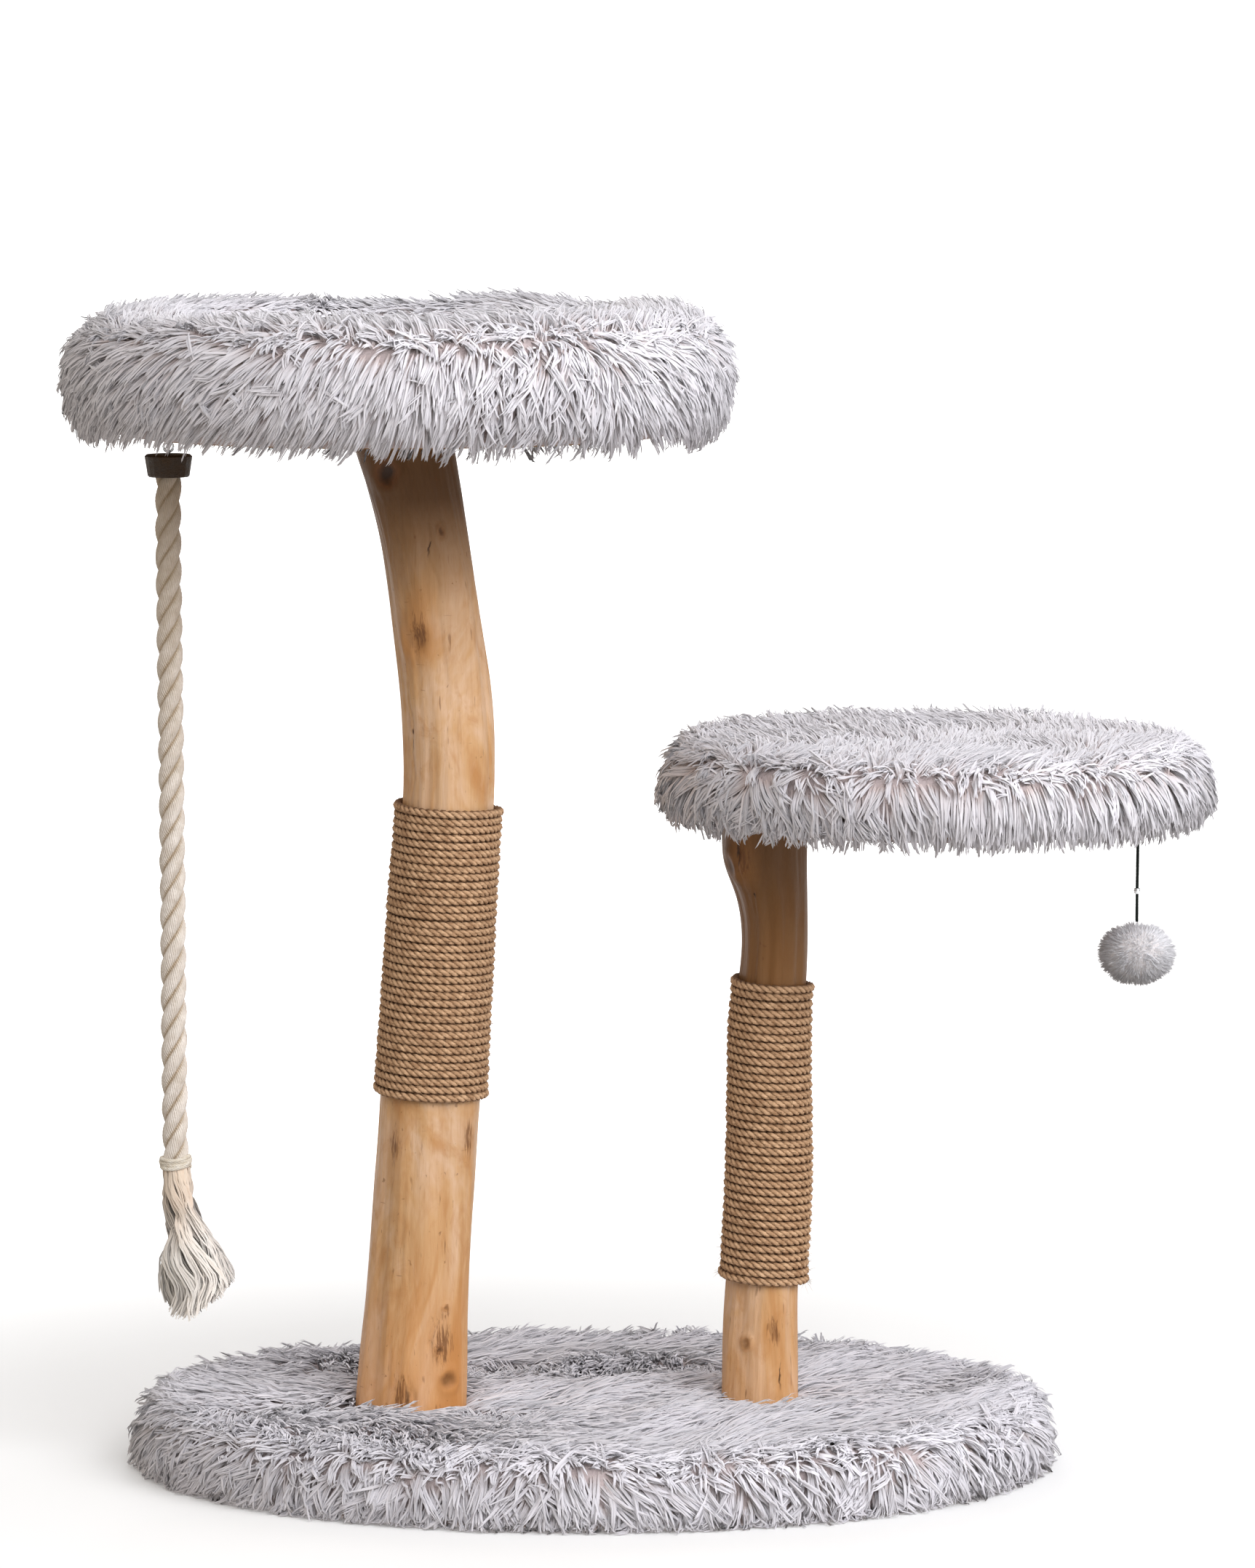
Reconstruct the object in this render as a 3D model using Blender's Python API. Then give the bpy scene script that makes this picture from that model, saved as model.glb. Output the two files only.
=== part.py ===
"""Cat tree with a fur-covered oval base, two natural trunks wound with jute, a round bolster bed on the
tall trunk, a round perch cantilevered from the short one, a play rope and a pompom toy.

Metres, +Z up. The origin is the centre of the base's underside. -Y is the front, +X the perch's side.
"""

import math

import bmesh
import bpy
import numpy as np
from mathutils import Vector

# Clearance between neighbouring solids, and round a wound or threaded piece.
GAP = 0.0003
LOOSE_GAP = 0.0005
# How far a cutter runs past the face that it opens.
CUT_MARGIN = 0.010

# Base platform: an oval board with a foam layer, under a fur cover that reaches the floor.
BASE_HALF_WIDTH = 0.342
BASE_HALF_DEPTH = 0.233
BASE_HEIGHT = 0.052
BASE_COVER_WALL = 0.018
# (inset, height) of the cover's outside, from its hem on the floor to its rounded shoulder.
BASE_COVER_OUTLINE = [
    (0.004, 0.0),
    (0.0, 0.008),
    (0.0, 0.030),
    (0.003, 0.040),
    (0.010, 0.048),
    (0.022, BASE_HEIGHT),
]
LINER_THICKNESS = 0.003
BOARD_THICKNESS = 0.022
FOAM_THICKNESS = 0.010
TRUNK_HOLE_MARGIN = 0.0012

# Trunks: (height, centre x, centre y, radius) of each station, foot to top.
TALL_STATIONS = [
    (0.0256, -0.1390, -0.022, 0.0415),
    (0.0850, -0.1348, -0.020, 0.0400),
    (0.1500, -0.1309, -0.016, 0.0384),
    (0.2777, -0.1239, -0.010, 0.0377),
    (0.4276, -0.1143, -0.006, 0.0366),
    (0.5435, -0.1076, -0.006, 0.0352),
    (0.6340, -0.1142, -0.008, 0.0339),
    (0.7000, -0.1243, -0.008, 0.0338),
    (0.7817, -0.1420, -0.004, 0.0375),
]
SHORT_STATIONS = [
    (0.0256, 0.1272, -0.016, 0.0292),
    (0.1100, 0.1280, -0.014, 0.0278),
    (0.2200, 0.1331, -0.010, 0.0276),
    (0.3300, 0.1336, -0.008, 0.0266),
    (0.4353, 0.1356, -0.009, 0.0266),
    (0.4640, 0.1300, -0.011, 0.0315),
    (0.4987, 0.1290, -0.012, 0.0330),
]
TRUNK_SIDES = 24
TRUNK_STEP = 0.036
# The trunk's section is a circle with a slow two-lobed and three-lobed waviness that turns with height.
LOBES = [(2, 0.024, 0.6, 5.0), (3, 0.014, 2.1, -7.0)]

# Jute winding: the outer skin of one layer of rope.
JUTE_DIAMETER = 0.0058
TALL_WRAP_RANGE = (0.284, 0.510)
SHORT_WRAP_RANGE = (0.142, 0.3765)

# Steel fixings.
BOLT_RADIUS = 0.004
BOLT_HEAD_RADIUS = 0.0075
BOLT_HEAD_HEIGHT = 0.0053
BOLT_DEPTH_IN_TRUNK = 0.055
BOLT_TIP_LENGTH = 0.006
TIP_SHARE = 0.3
WASHER_RADIUS = 0.012
WASHER_THICKNESS = 0.0018
COUNTERBORE_RADIUS = 0.014
COUNTERBORE_DEPTH = 0.0090
PLATE_RADIUS = 0.055
PLATE_THICKNESS = 0.003
PLATE_SCREW_COUNT = 4
PLATE_SCREW_CIRCLE = 0.046
SCREW_RADIUS = 0.0020
SCREW_HEAD_RADIUS = 0.0038
SCREW_HEAD_HEIGHT = 0.0020
SCREW_BITE = 0.011
SCREW_TIP_LENGTH = 0.004
BOARD_POCKET_RADIUS = 0.011
BOARD_POCKET_DEPTH = 0.008

# Upper bed: a board that carries a bolster ring round a loose-filled cushion.
BED_CENTRE = (-0.1452, 0.0)
BED_BOARD_RADIUS = 0.200
BED_BOARD_THICKNESS = 0.015
BOLSTER_RADIUS = 0.246
BOLSTER_BOTTOM = 0.779
BOLSTER_TOP = 0.877
BOLSTER_WIDTH = 0.105
BOLSTER_SQUARENESS = 2.4
SECTION_POINTS = 14
CUSHION_RADIUS = 0.138
# (inset, height) of the cushion's edge, from the board up.
CUSHION_OUTLINE = [(0.006, 0.0), (0.0, 0.008), (0.0, 0.020), (0.010, 0.031), (0.034, 0.037)]

# Perch: a board under a thick fur pad, mounted well off its centre.
PERCH_CENTRE = (0.2591, 0.0)
PERCH_BOARD_RADIUS = 0.190
PERCH_BOARD_THICKNESS = 0.015
PERCH_RADIUS = 0.2045
PERCH_BOTTOM = 0.4975
PERCH_TOP = 0.553
# (inset, height) of the pad's rounded lower edge, and (inset, depth below the top) of its upper edge.
PERCH_LOWER_EDGE = [(0.005, 0.0), (0.0, 0.010)]
PERCH_UPPER_EDGE = [(0.0, 0.022), (0.005, 0.009), (0.016, 0.002), (0.034, 0.0)]

# Play rope, hung from a screw eye by one ring.
ROPE_X = -0.3180
ROPE_RADIUS = 0.010
ROPE_CAP_TOP = 0.770
ROPE_CAP_BOTTOM = 0.753
ROPE_CAP_TOP_RADIUS = 0.0180
ROPE_CAP_BOTTOM_RADIUS = 0.0158
ROPE_CAP_LID = 0.0040
ROPE_CAP_LOWER_CHAMFER = 0.0010
ROPE_CAP_UPPER_CHAMFER = 0.0015
ROPE_END = 0.2258
WHIPPING_LENGTH = 0.0115
WHIPPING_RADIUS = 0.0124
# (height, centre x, radius) of the tassel's outer shape.
TASSEL_STATIONS = [
    (0.2255, -0.3171, 0.0102),
    (0.2129, -0.3150, 0.0114),
    (0.1927, -0.3107, 0.0142),
    (0.1725, -0.3075, 0.0186),
    (0.1573, -0.3042, 0.0250),
    (0.1426, -0.3000, 0.0300),
    (0.1235, -0.3010, 0.0215),
    (0.1145, -0.3060, 0.0110),
]
ROPE_ROUTE = [
    (ROPE_X, 0.0, 0.7657),
    (ROPE_X - 0.0006, 0.0004, 0.720),
    (ROPE_X - 0.0004, 0.0002, 0.640),
    (ROPE_X + 0.0001, -0.0003, 0.540),
    (ROPE_X + 0.0004, -0.0002, 0.430),
    (ROPE_X + 0.0004, 0.0002, 0.320),
    (ROPE_X + 0.0008, 0.0, ROPE_END),
]
ROPE_SPACING = 0.030

# Rings that make the two swinging hangers: wire radius and ring radius.
ROPE_WIRE = 0.0010
ROPE_RING = 0.0036
TOY_WIRE = 0.0008
TOY_RING = 0.0028
EYE_SHANK_RADIUS = 0.0016
EYE_SHANK_LENGTH = 0.011
RING_SIDES = 16
WIRE_SIDES = 6

# Pompom toy.
TOY_X = 0.4096
TOY_Y = -0.030
TOY_CORD_RADIUS = 0.00115
TOY_BEAD_HEIGHT = 0.4435
TOY_BEAD_RADIUS = 0.0026
TOY_BEAD_END_RADIUS = 0.0022
TOY_BEAD_HALF_LENGTH = 0.0020
# The cord hangs a touch to the left of its loop.
TOY_LEAN = 0.0003
TOY_CORD_SPACING = 0.006
# (radius, depth below its top) of the ball that ties off the cord's knot.
KNOT_BALL_OUTLINE = [(0.0008, 0.0), (0.0020, 0.0010), (0.0023, 0.0021), (0.0018, 0.0034), (0.0010, 0.0042)]
POMPOM_CENTRE = 0.3960
POMPOM_RADII = (0.0285, 0.0278, 0.0240)
POMPOM_RINGS = 11

OVAL_SIDES = 56
DISC_SIDES = 40
PIN_SIDES = 12
SMALL_SIDES = 20


def clear_scene():
    for obj in list(bpy.data.objects):
        bpy.data.objects.remove(obj, do_unlink=True)


def make_material(name, colour, roughness, metallic=0.0):
    material = bpy.data.materials.new(name)
    material.use_nodes = True
    shader = material.node_tree.nodes["Principled BSDF"]
    shader.inputs["Base Color"].default_value = (*colour, 1.0)
    shader.inputs["Roughness"].default_value = roughness
    shader.inputs["Metallic"].default_value = metallic
    material.diffuse_color = (*colour, 1.0)
    return material


def finish_mesh(name, bm, material):
    """Closes the bmesh into a named object with outward normals, smooth sides and sharp rims."""
    bmesh.ops.recalc_face_normals(bm, faces=bm.faces)
    mesh = bpy.data.meshes.new(name)
    bm.to_mesh(mesh)
    bm.free()
    mesh.shade_smooth()
    mesh.set_sharp_from_angle(angle=math.radians(40))
    obj = bpy.data.objects.new(name, mesh)
    if material is not None:
        mesh.materials.append(material)
    bpy.context.scene.collection.objects.link(obj)
    return obj


def add_loft(bm, rings, looped=False):
    """Joins rings of equal point count. An open loft gets a flat cap at each end, a looped one joins up."""
    loops = [[bm.verts.new(point) for point in ring] for ring in rings]
    pairs = list(zip(loops, loops[1:]))
    if looped:
        pairs.append((loops[-1], loops[0]))
    for low, high in pairs:
        for i in range(len(low)):
            j = (i + 1) % len(low)
            bm.faces.new((low[i], low[j], high[j], high[i]))
    if not looped:
        bm.faces.new(loops[0])
        bm.faces.new(loops[-1])


def loft(name, rings, material, looped=False):
    bm = bmesh.new()
    add_loft(bm, rings, looped)
    return finish_mesh(name, bm, material)


def oval(centre, half_width, half_depth, height, sides):
    angles = [2 * math.pi * i / sides for i in range(sides)]
    return [
        (centre[0] + half_width * math.cos(a), centre[1] + half_depth * math.sin(a), height)
        for a in angles
    ]


def turned(name, centre, profile, material, sides=DISC_SIDES, looped=False):
    """A turned piece: profile is (radius, height) from one end cap to the other."""
    rings = [oval(centre, radius, radius, height, sides) for radius, height in profile]
    return loft(name, rings, material, looped)


def turned_copies(names, profile, centres, material, sides=PIN_SIDES, looped=False):
    """The same turned piece at each centre, each as its own object."""
    for name, centre in zip(names, centres):
        turned(name, centre, profile, material, sides, looped)


def through(stations, height):
    """The station values at a height, on a smooth cubic curve through the stations."""
    table = np.array(stations)
    heights = table[:, 0]
    slopes = np.gradient(table[:, 1:], heights, axis=0)
    i = int(np.clip(np.searchsorted(heights, height) - 1, 0, len(heights) - 2))
    span = heights[i + 1] - heights[i]
    t = (height - heights[i]) / span
    start = (2 * t**3 - 3 * t**2 + 1) * table[i, 1:] + (t**3 - 2 * t**2 + t) * span * slopes[i]
    end = (3 * t**2 - 2 * t**3) * table[i + 1, 1:] + (t**3 - t**2) * span * slopes[i + 1]
    return start + end


def trunk_ring(stations, height, growth=0.0):
    """The trunk's wavy section at a height, grown outwards by growth."""
    x, y, radius = through(stations, height)
    ring = []
    for i in range(TRUNK_SIDES):
        angle = 2 * math.pi * i / TRUNK_SIDES
        wave = sum(size * math.cos(n * angle + phase + turn * height) for n, size, phase, turn in LOBES)
        reach = radius * (1 + wave) + growth
        ring.append((x + reach * math.cos(angle), y + reach * math.sin(angle), height))
    return ring


def heights_between(low, high):
    count = max(2, round((high - low) / TRUNK_STEP) + 1)
    return [float(h) for h in np.linspace(low, high, count)]


def trunk(name, stations, material):
    low, high = stations[0][0], stations[-1][0]
    rings = [trunk_ring(stations, height) for height in heights_between(low, high)]
    return loft(name, rings, material)


def wrap(name, stations, limits, material):
    """The winding as a sleeve of one rope's thickness that follows the trunk."""
    heights = heights_between(*limits)
    inside = [trunk_ring(stations, h, LOOSE_GAP) for h in heights]
    outside = [trunk_ring(stations, h, JUTE_DIAMETER) for h in reversed(heights)]
    return loft(name, inside + outside, material, looped=True)


def ring_mesh(name, centre, ring_radius, wire_radius, facing, material):
    """A wire ring whose own axis lies along facing, which is X or Y."""
    centre = Vector(centre)
    sideways = Vector((0, 1, 0)) if facing == "X" else Vector((1, 0, 0))
    along = Vector((1, 0, 0)) if facing == "X" else Vector((0, 1, 0))
    rings = []
    for i in range(RING_SIDES):
        angle = 2 * math.pi * i / RING_SIDES
        outward = sideways * math.cos(angle) + Vector((0, 0, 1)) * math.sin(angle)
        middle = centre + outward * ring_radius
        section = []
        for j in range(WIRE_SIDES):
            turn = 2 * math.pi * j / WIRE_SIDES
            section.append(middle + wire_radius * (outward * math.cos(turn) + along * math.sin(turn)))
        rings.append(section)
    return loft(name, rings, material, looped=True)


def hide_helper(obj):
    obj.hide_render = True
    obj.display_type = "WIRE"
    return obj


def combine(obj, helper, operation):
    modifier = obj.modifiers.new(f"{operation.lower()}_{helper.name}", "BOOLEAN")
    modifier.operation = operation
    modifier.solver = "EXACT"
    modifier.object = hide_helper(helper)


def cut_hole(obj, centre, radius, low, high, sides=PIN_SIDES):
    """Cuts a round hole from low to high. A number counts the cutters, so each has its own name."""
    number = len(obj.modifiers) + 1
    cutter = turned(f"cutter_{obj.name}_{number}", centre, [(radius, low), (radius, high)], None, sides)
    combine(obj, cutter, "DIFFERENCE")


def foot_centre(stations):
    return stations[0][1], stations[0][2]


def top_centre(stations):
    return stations[-1][1], stations[-1][2]


def build_base(materials):
    board_low = LINER_THICKNESS + GAP
    board_high = board_low + BOARD_THICKNESS
    foam_low = board_high + GAP
    foam_high = foam_low + FOAM_THICKNESS
    ceiling = foam_high + GAP
    feet = [foot_centre(TALL_STATIONS), foot_centre(SHORT_STATIONS)]

    def base_oval(inset, height):
        return oval((0, 0), BASE_HALF_WIDTH - inset, BASE_HALF_DEPTH - inset, height, OVAL_SIDES)

    def slab(name, inset, low, high, material):
        return loft(name, [base_oval(inset, low), base_oval(inset, high)], material)

    # The cover's pocket takes the board and foam, so its profile starts at the pocket's ceiling.
    profile = [(BASE_COVER_WALL, ceiling), (BASE_COVER_WALL, 0.0), *BASE_COVER_OUTLINE]
    cover = loft("base_cover", [base_oval(inset, height) for inset, height in profile], materials["fur"])
    inner = BASE_COVER_WALL + 2 * GAP
    board = slab("base_board", inner, board_low, board_high, materials["board"])
    foam = slab("base_foam", inner, foam_low, foam_high, materials["foam"])
    liner = slab("base_liner", inner, 0.0, LINER_THICKNESS, materials["felt"])

    for centre, stations in zip(feet, (TALL_STATIONS, SHORT_STATIONS)):
        waviness = 1 + sum(size for _, size, _, _ in LOBES)
        hole = stations[0][3] * waviness + TRUNK_HOLE_MARGIN
        cut_hole(cover, centre, hole, BOARD_THICKNESS, BASE_HEIGHT + CUT_MARGIN, TRUNK_SIDES)
        cut_hole(foam, centre, hole, 0.0, BASE_HEIGHT, TRUNK_SIDES)
        cut_hole(liner, centre, COUNTERBORE_RADIUS, -CUT_MARGIN, board_low + CUT_MARGIN)
        cut_hole(board, centre, COUNTERBORE_RADIUS, -CUT_MARGIN, board_low + COUNTERBORE_DEPTH)
        cut_hole(board, centre, BOLT_RADIUS + 2 * GAP, 0.0, BASE_HEIGHT)

    washer_high = board_low + COUNTERBORE_DEPTH - GAP
    washer_low = washer_high - WASHER_THICKNESS
    head_high = washer_low - GAP
    head_low = head_high - BOLT_HEAD_HEIGHT
    bolt_top = TALL_STATIONS[0][0] + BOLT_DEPTH_IN_TRUNK
    bolt_profile = [
        (BOLT_HEAD_RADIUS, head_low),
        (BOLT_HEAD_RADIUS, head_high),
        (BOLT_RADIUS, head_high),
        (BOLT_RADIUS, bolt_top - BOLT_TIP_LENGTH),
        (BOLT_RADIUS * TIP_SHARE, bolt_top),
    ]
    turned_copies(["tall_foot_bolt", "short_foot_bolt"], bolt_profile, feet, materials["steel"])
    hole = BOLT_RADIUS + GAP
    washer_profile = [
        (hole, washer_low),
        (WASHER_RADIUS, washer_low),
        (WASHER_RADIUS, washer_high),
        (hole, washer_high),
    ]
    turned_copies(
        ["tall_foot_washer", "short_foot_washer"],
        washer_profile,
        feet,
        materials["steel"],
        looped=True,
    )


def build_trunk(name, stations, wrap_range, materials):
    """A trunk with pilot holes for the bolts in its two sawn ends, and its jute winding."""
    post = trunk(name, stations, materials["trunk"])
    pilot = BOLT_RADIUS + GAP
    low, high = stations[0][0], stations[-1][0]
    depth = BOLT_DEPTH_IN_TRUNK + 2 * GAP
    cut_hole(post, foot_centre(stations), pilot, low - CUT_MARGIN, low + depth)
    cut_hole(post, top_centre(stations), pilot, high - depth, high + CUT_MARGIN)
    wrap(f"{name}_wrap", stations, wrap_range, materials["jute"])


def screw_circle(centre):
    """Centres of the screws round a mounting plate, turned an eighth so that none points forwards."""
    turns = [2 * math.pi * (i + 0.5) / PLATE_SCREW_COUNT for i in range(PLATE_SCREW_COUNT)]
    return [
        (
            centre[0] + PLATE_SCREW_CIRCLE * math.cos(t),
            centre[1] + PLATE_SCREW_CIRCLE * math.sin(t),
        )
        for t in turns
    ]


def build_mount(prefix, stations, board, materials):
    """A steel plate bolted on a trunk's top and screwed up into a board, which gets the pilot holes."""
    centre = top_centre(stations)
    plate_low = stations[-1][0] + GAP
    plate_high = plate_low + PLATE_THICKNESS
    board_low = plate_high + GAP
    plate = turned(
        f"{prefix}_mount_plate",
        centre,
        [(PLATE_RADIUS, plate_low), (PLATE_RADIUS, plate_high)],
        materials["steel"],
    )
    cut_hole(plate, centre, BOLT_RADIUS + GAP, plate_low - CUT_MARGIN, plate_high + CUT_MARGIN)

    head_low = plate_high + GAP
    head_high = head_low + BOLT_HEAD_HEIGHT
    tip = stations[-1][0] - BOLT_DEPTH_IN_TRUNK
    turned(
        f"{prefix}_mount_bolt",
        centre,
        [
            (BOLT_RADIUS * TIP_SHARE, tip),
            (BOLT_RADIUS, tip + BOLT_TIP_LENGTH),
            (BOLT_RADIUS, head_low),
            (BOLT_HEAD_RADIUS, head_low),
            (BOLT_HEAD_RADIUS, head_high),
        ],
        materials["steel"],
        PIN_SIDES,
    )
    cut_hole(board, centre, BOARD_POCKET_RADIUS, board_low - CUT_MARGIN, board_low + BOARD_POCKET_DEPTH)

    screw_low = plate_low - GAP - SCREW_HEAD_HEIGHT
    screw_top = board_low + SCREW_BITE
    profile = [
        (SCREW_HEAD_RADIUS * 0.6, screw_low),
        (SCREW_HEAD_RADIUS, screw_low + SCREW_HEAD_HEIGHT),
        (SCREW_RADIUS, screw_low + SCREW_HEAD_HEIGHT),
        (SCREW_RADIUS, screw_top - SCREW_TIP_LENGTH),
        (SCREW_RADIUS * TIP_SHARE, screw_top),
    ]
    screws = screw_circle(centre)
    names = [f"{prefix}_mount_screw_{i + 1}" for i in range(PLATE_SCREW_COUNT)]
    turned_copies(names, profile, screws, materials["steel"])
    for spot in screws:
        cut_hole(plate, spot, SCREW_RADIUS + GAP, plate_low - CUT_MARGIN, plate_high + CUT_MARGIN)
        cut_hole(board, spot, SCREW_RADIUS + GAP, board_low - CUT_MARGIN, screw_top + GAP)


def board_low_above(stations):
    """The underside of the board that the trunk's mounting plate carries."""
    return stations[-1][0] + PLATE_THICKNESS + 2 * GAP


def build_upper_bed(materials):
    low = board_low_above(TALL_STATIONS)
    high = low + BED_BOARD_THICKNESS
    board = turned(
        "upper_bed_board",
        BED_CENTRE,
        [(BED_BOARD_RADIUS, low), (BED_BOARD_RADIUS, high)],
        materials["board"],
    )
    build_mount("upper", TALL_STATIONS, board, materials)

    # The bolster's section is a superellipse, and a step in its underside takes the board's rim.
    middle = BOLSTER_RADIUS - BOLSTER_WIDTH / 2
    half_height = (BOLSTER_TOP - BOLSTER_BOTTOM) / 2
    section = []
    for i in range(SECTION_POINTS):
        angle = 2 * math.pi * i / SECTION_POINTS
        c, s = math.cos(angle), math.sin(angle)
        across = math.copysign(abs(c) ** (2 / BOLSTER_SQUARENESS), c)
        up = math.copysign(abs(s) ** (2 / BOLSTER_SQUARENESS), s)
        section.append((middle + BOLSTER_WIDTH / 2 * across, BOLSTER_BOTTOM + half_height * (1 + up)))
    bolster = turned("upper_bed_bolster", BED_CENTRE, section, materials["fur"], looped=True)
    cut_hole(bolster, BED_CENTRE, BED_BOARD_RADIUS + GAP, low - CUT_MARGIN, high + GAP, DISC_SIDES)

    edge = [(CUSHION_RADIUS - inset, high + GAP + height) for inset, height in CUSHION_OUTLINE]
    turned("upper_bed_cushion", BED_CENTRE, edge, materials["fur"])
    return board, low


def build_perch(materials):
    low = board_low_above(SHORT_STATIONS)
    high = low + PERCH_BOARD_THICKNESS
    board = turned(
        "perch_board",
        PERCH_CENTRE,
        [(PERCH_BOARD_RADIUS, low), (PERCH_BOARD_RADIUS, high)],
        materials["board"],
    )
    build_mount("perch", SHORT_STATIONS, board, materials)
    pocket = PERCH_BOARD_RADIUS + GAP
    profile = [(pocket, high + GAP), (pocket, PERCH_BOTTOM)]
    profile += [(PERCH_RADIUS - inset, PERCH_BOTTOM + height) for inset, height in PERCH_LOWER_EDGE]
    profile += [(PERCH_RADIUS - inset, PERCH_TOP - depth) for inset, depth in PERCH_UPPER_EDGE]
    turned("perch_pad", PERCH_CENTRE, profile, materials["fur"])
    return board, low


def screw_eye(name, spot, board, board_low, ring_radius, wire_radius, material):
    """A screw eye in a board's underside, its ring facing X. Returns the centre of its lowest wire."""
    centre_height = board_low - GAP - ring_radius - wire_radius
    eye = ring_mesh(name, (*spot, centre_height), ring_radius, wire_radius, "X", material)
    shank_low = centre_height + ring_radius
    shank_high = board_low + EYE_SHANK_LENGTH
    shank = turned(
        f"{name}_shank",
        spot,
        [(EYE_SHANK_RADIUS, shank_low), (EYE_SHANK_RADIUS, shank_high)],
        None,
        PIN_SIDES,
    )
    combine(eye, shank, "UNION")
    cut_hole(board, spot, EYE_SHANK_RADIUS + GAP, board_low - CUT_MARGIN, shank_high + GAP)
    return centre_height - ring_radius


def hung_ring_centre(wire_height, ring_radius, wire_radius):
    """The centre of a ring that hangs over a wire, with a gap left between the two wires."""
    return wire_height + 2 * wire_radius + GAP - ring_radius


def tube(name, route, radius, spacing, bevel_resolution, material):
    """A round cord along a smooth curve through the route, as a bevelled curve with closed ends."""
    points = np.array(route, dtype=float)
    lengths = np.concatenate([[0], np.cumsum(np.linalg.norm(np.diff(points, axis=0), axis=1))])
    table = np.column_stack([lengths, points])
    count = max(4, round(lengths[-1] / spacing) + 1)
    path = [through(table, at) for at in np.linspace(0, lengths[-1], count)]
    curve = bpy.data.curves.new(name, "CURVE")
    curve.dimensions = "3D"
    curve.bevel_depth = radius
    curve.bevel_resolution = bevel_resolution
    curve.use_fill_caps = True
    spline = curve.splines.new("POLY")
    spline.points.add(len(path) - 1)
    for point, place in zip(spline.points, path):
        point.co = (*place, 1)
    obj = bpy.data.objects.new(name, curve)
    curve.materials.append(material)
    bpy.context.scene.collection.objects.link(obj)
    return obj


def build_play_rope(board, board_low, materials):
    """Screw eye, ring, end cap, rope, whipping and frayed tassel, hanging under the upper bed."""
    spot = (ROPE_X, 0.0)
    eye_wire = screw_eye("rope_screw_eye", spot, board, board_low, ROPE_RING, ROPE_WIRE, materials["steel"])
    link_centre = hung_ring_centre(eye_wire, ROPE_RING, ROPE_WIRE)
    link_wire = link_centre - ROPE_RING
    ring_mesh("rope_link", (*spot, link_centre), ROPE_RING, ROPE_WIRE, "Y", materials["steel"])

    inner = ROPE_RADIUS + GAP
    ceiling = ROPE_CAP_TOP - ROPE_CAP_LID
    cap = turned(
        "rope_end_cap",
        spot,
        [
            (inner, ceiling),
            (inner, ROPE_CAP_BOTTOM),
            (ROPE_CAP_BOTTOM_RADIUS - ROPE_CAP_LOWER_CHAMFER, ROPE_CAP_BOTTOM),
            (ROPE_CAP_BOTTOM_RADIUS, ROPE_CAP_BOTTOM + ROPE_CAP_LOWER_CHAMFER),
            (ROPE_CAP_TOP_RADIUS, ROPE_CAP_TOP - ROPE_CAP_UPPER_CHAMFER),
            (ROPE_CAP_TOP_RADIUS - ROPE_CAP_UPPER_CHAMFER, ROPE_CAP_TOP),
        ],
        materials["cap"],
        SMALL_SIDES,
    )
    cap_eye_centre = hung_ring_centre(link_wire, ROPE_RING, ROPE_WIRE)
    cap_eye = ring_mesh("rope_cap_eye", (*spot, cap_eye_centre), ROPE_RING, ROPE_WIRE, "X", None)
    combine(cap, cap_eye, "UNION")

    tube("play_rope", ROPE_ROUTE, ROPE_RADIUS, ROPE_SPACING, 3, materials["rope"])
    end = (ROPE_ROUTE[-1][0], ROPE_ROUTE[-1][1])
    inside = ROPE_RADIUS + LOOSE_GAP
    band = [
        (inside, ROPE_END),
        (WHIPPING_RADIUS, ROPE_END),
        (WHIPPING_RADIUS, ROPE_END + WHIPPING_LENGTH),
        (inside, ROPE_END + WHIPPING_LENGTH),
    ]
    turned("rope_whipping", end, band, materials["rope"], SMALL_SIDES, looped=True)
    rings = [oval((x, 0.0), radius, radius, height, SMALL_SIDES) for height, x, radius in TASSEL_STATIONS]
    loft("rope_tassel", rings, materials["rope"])


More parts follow.
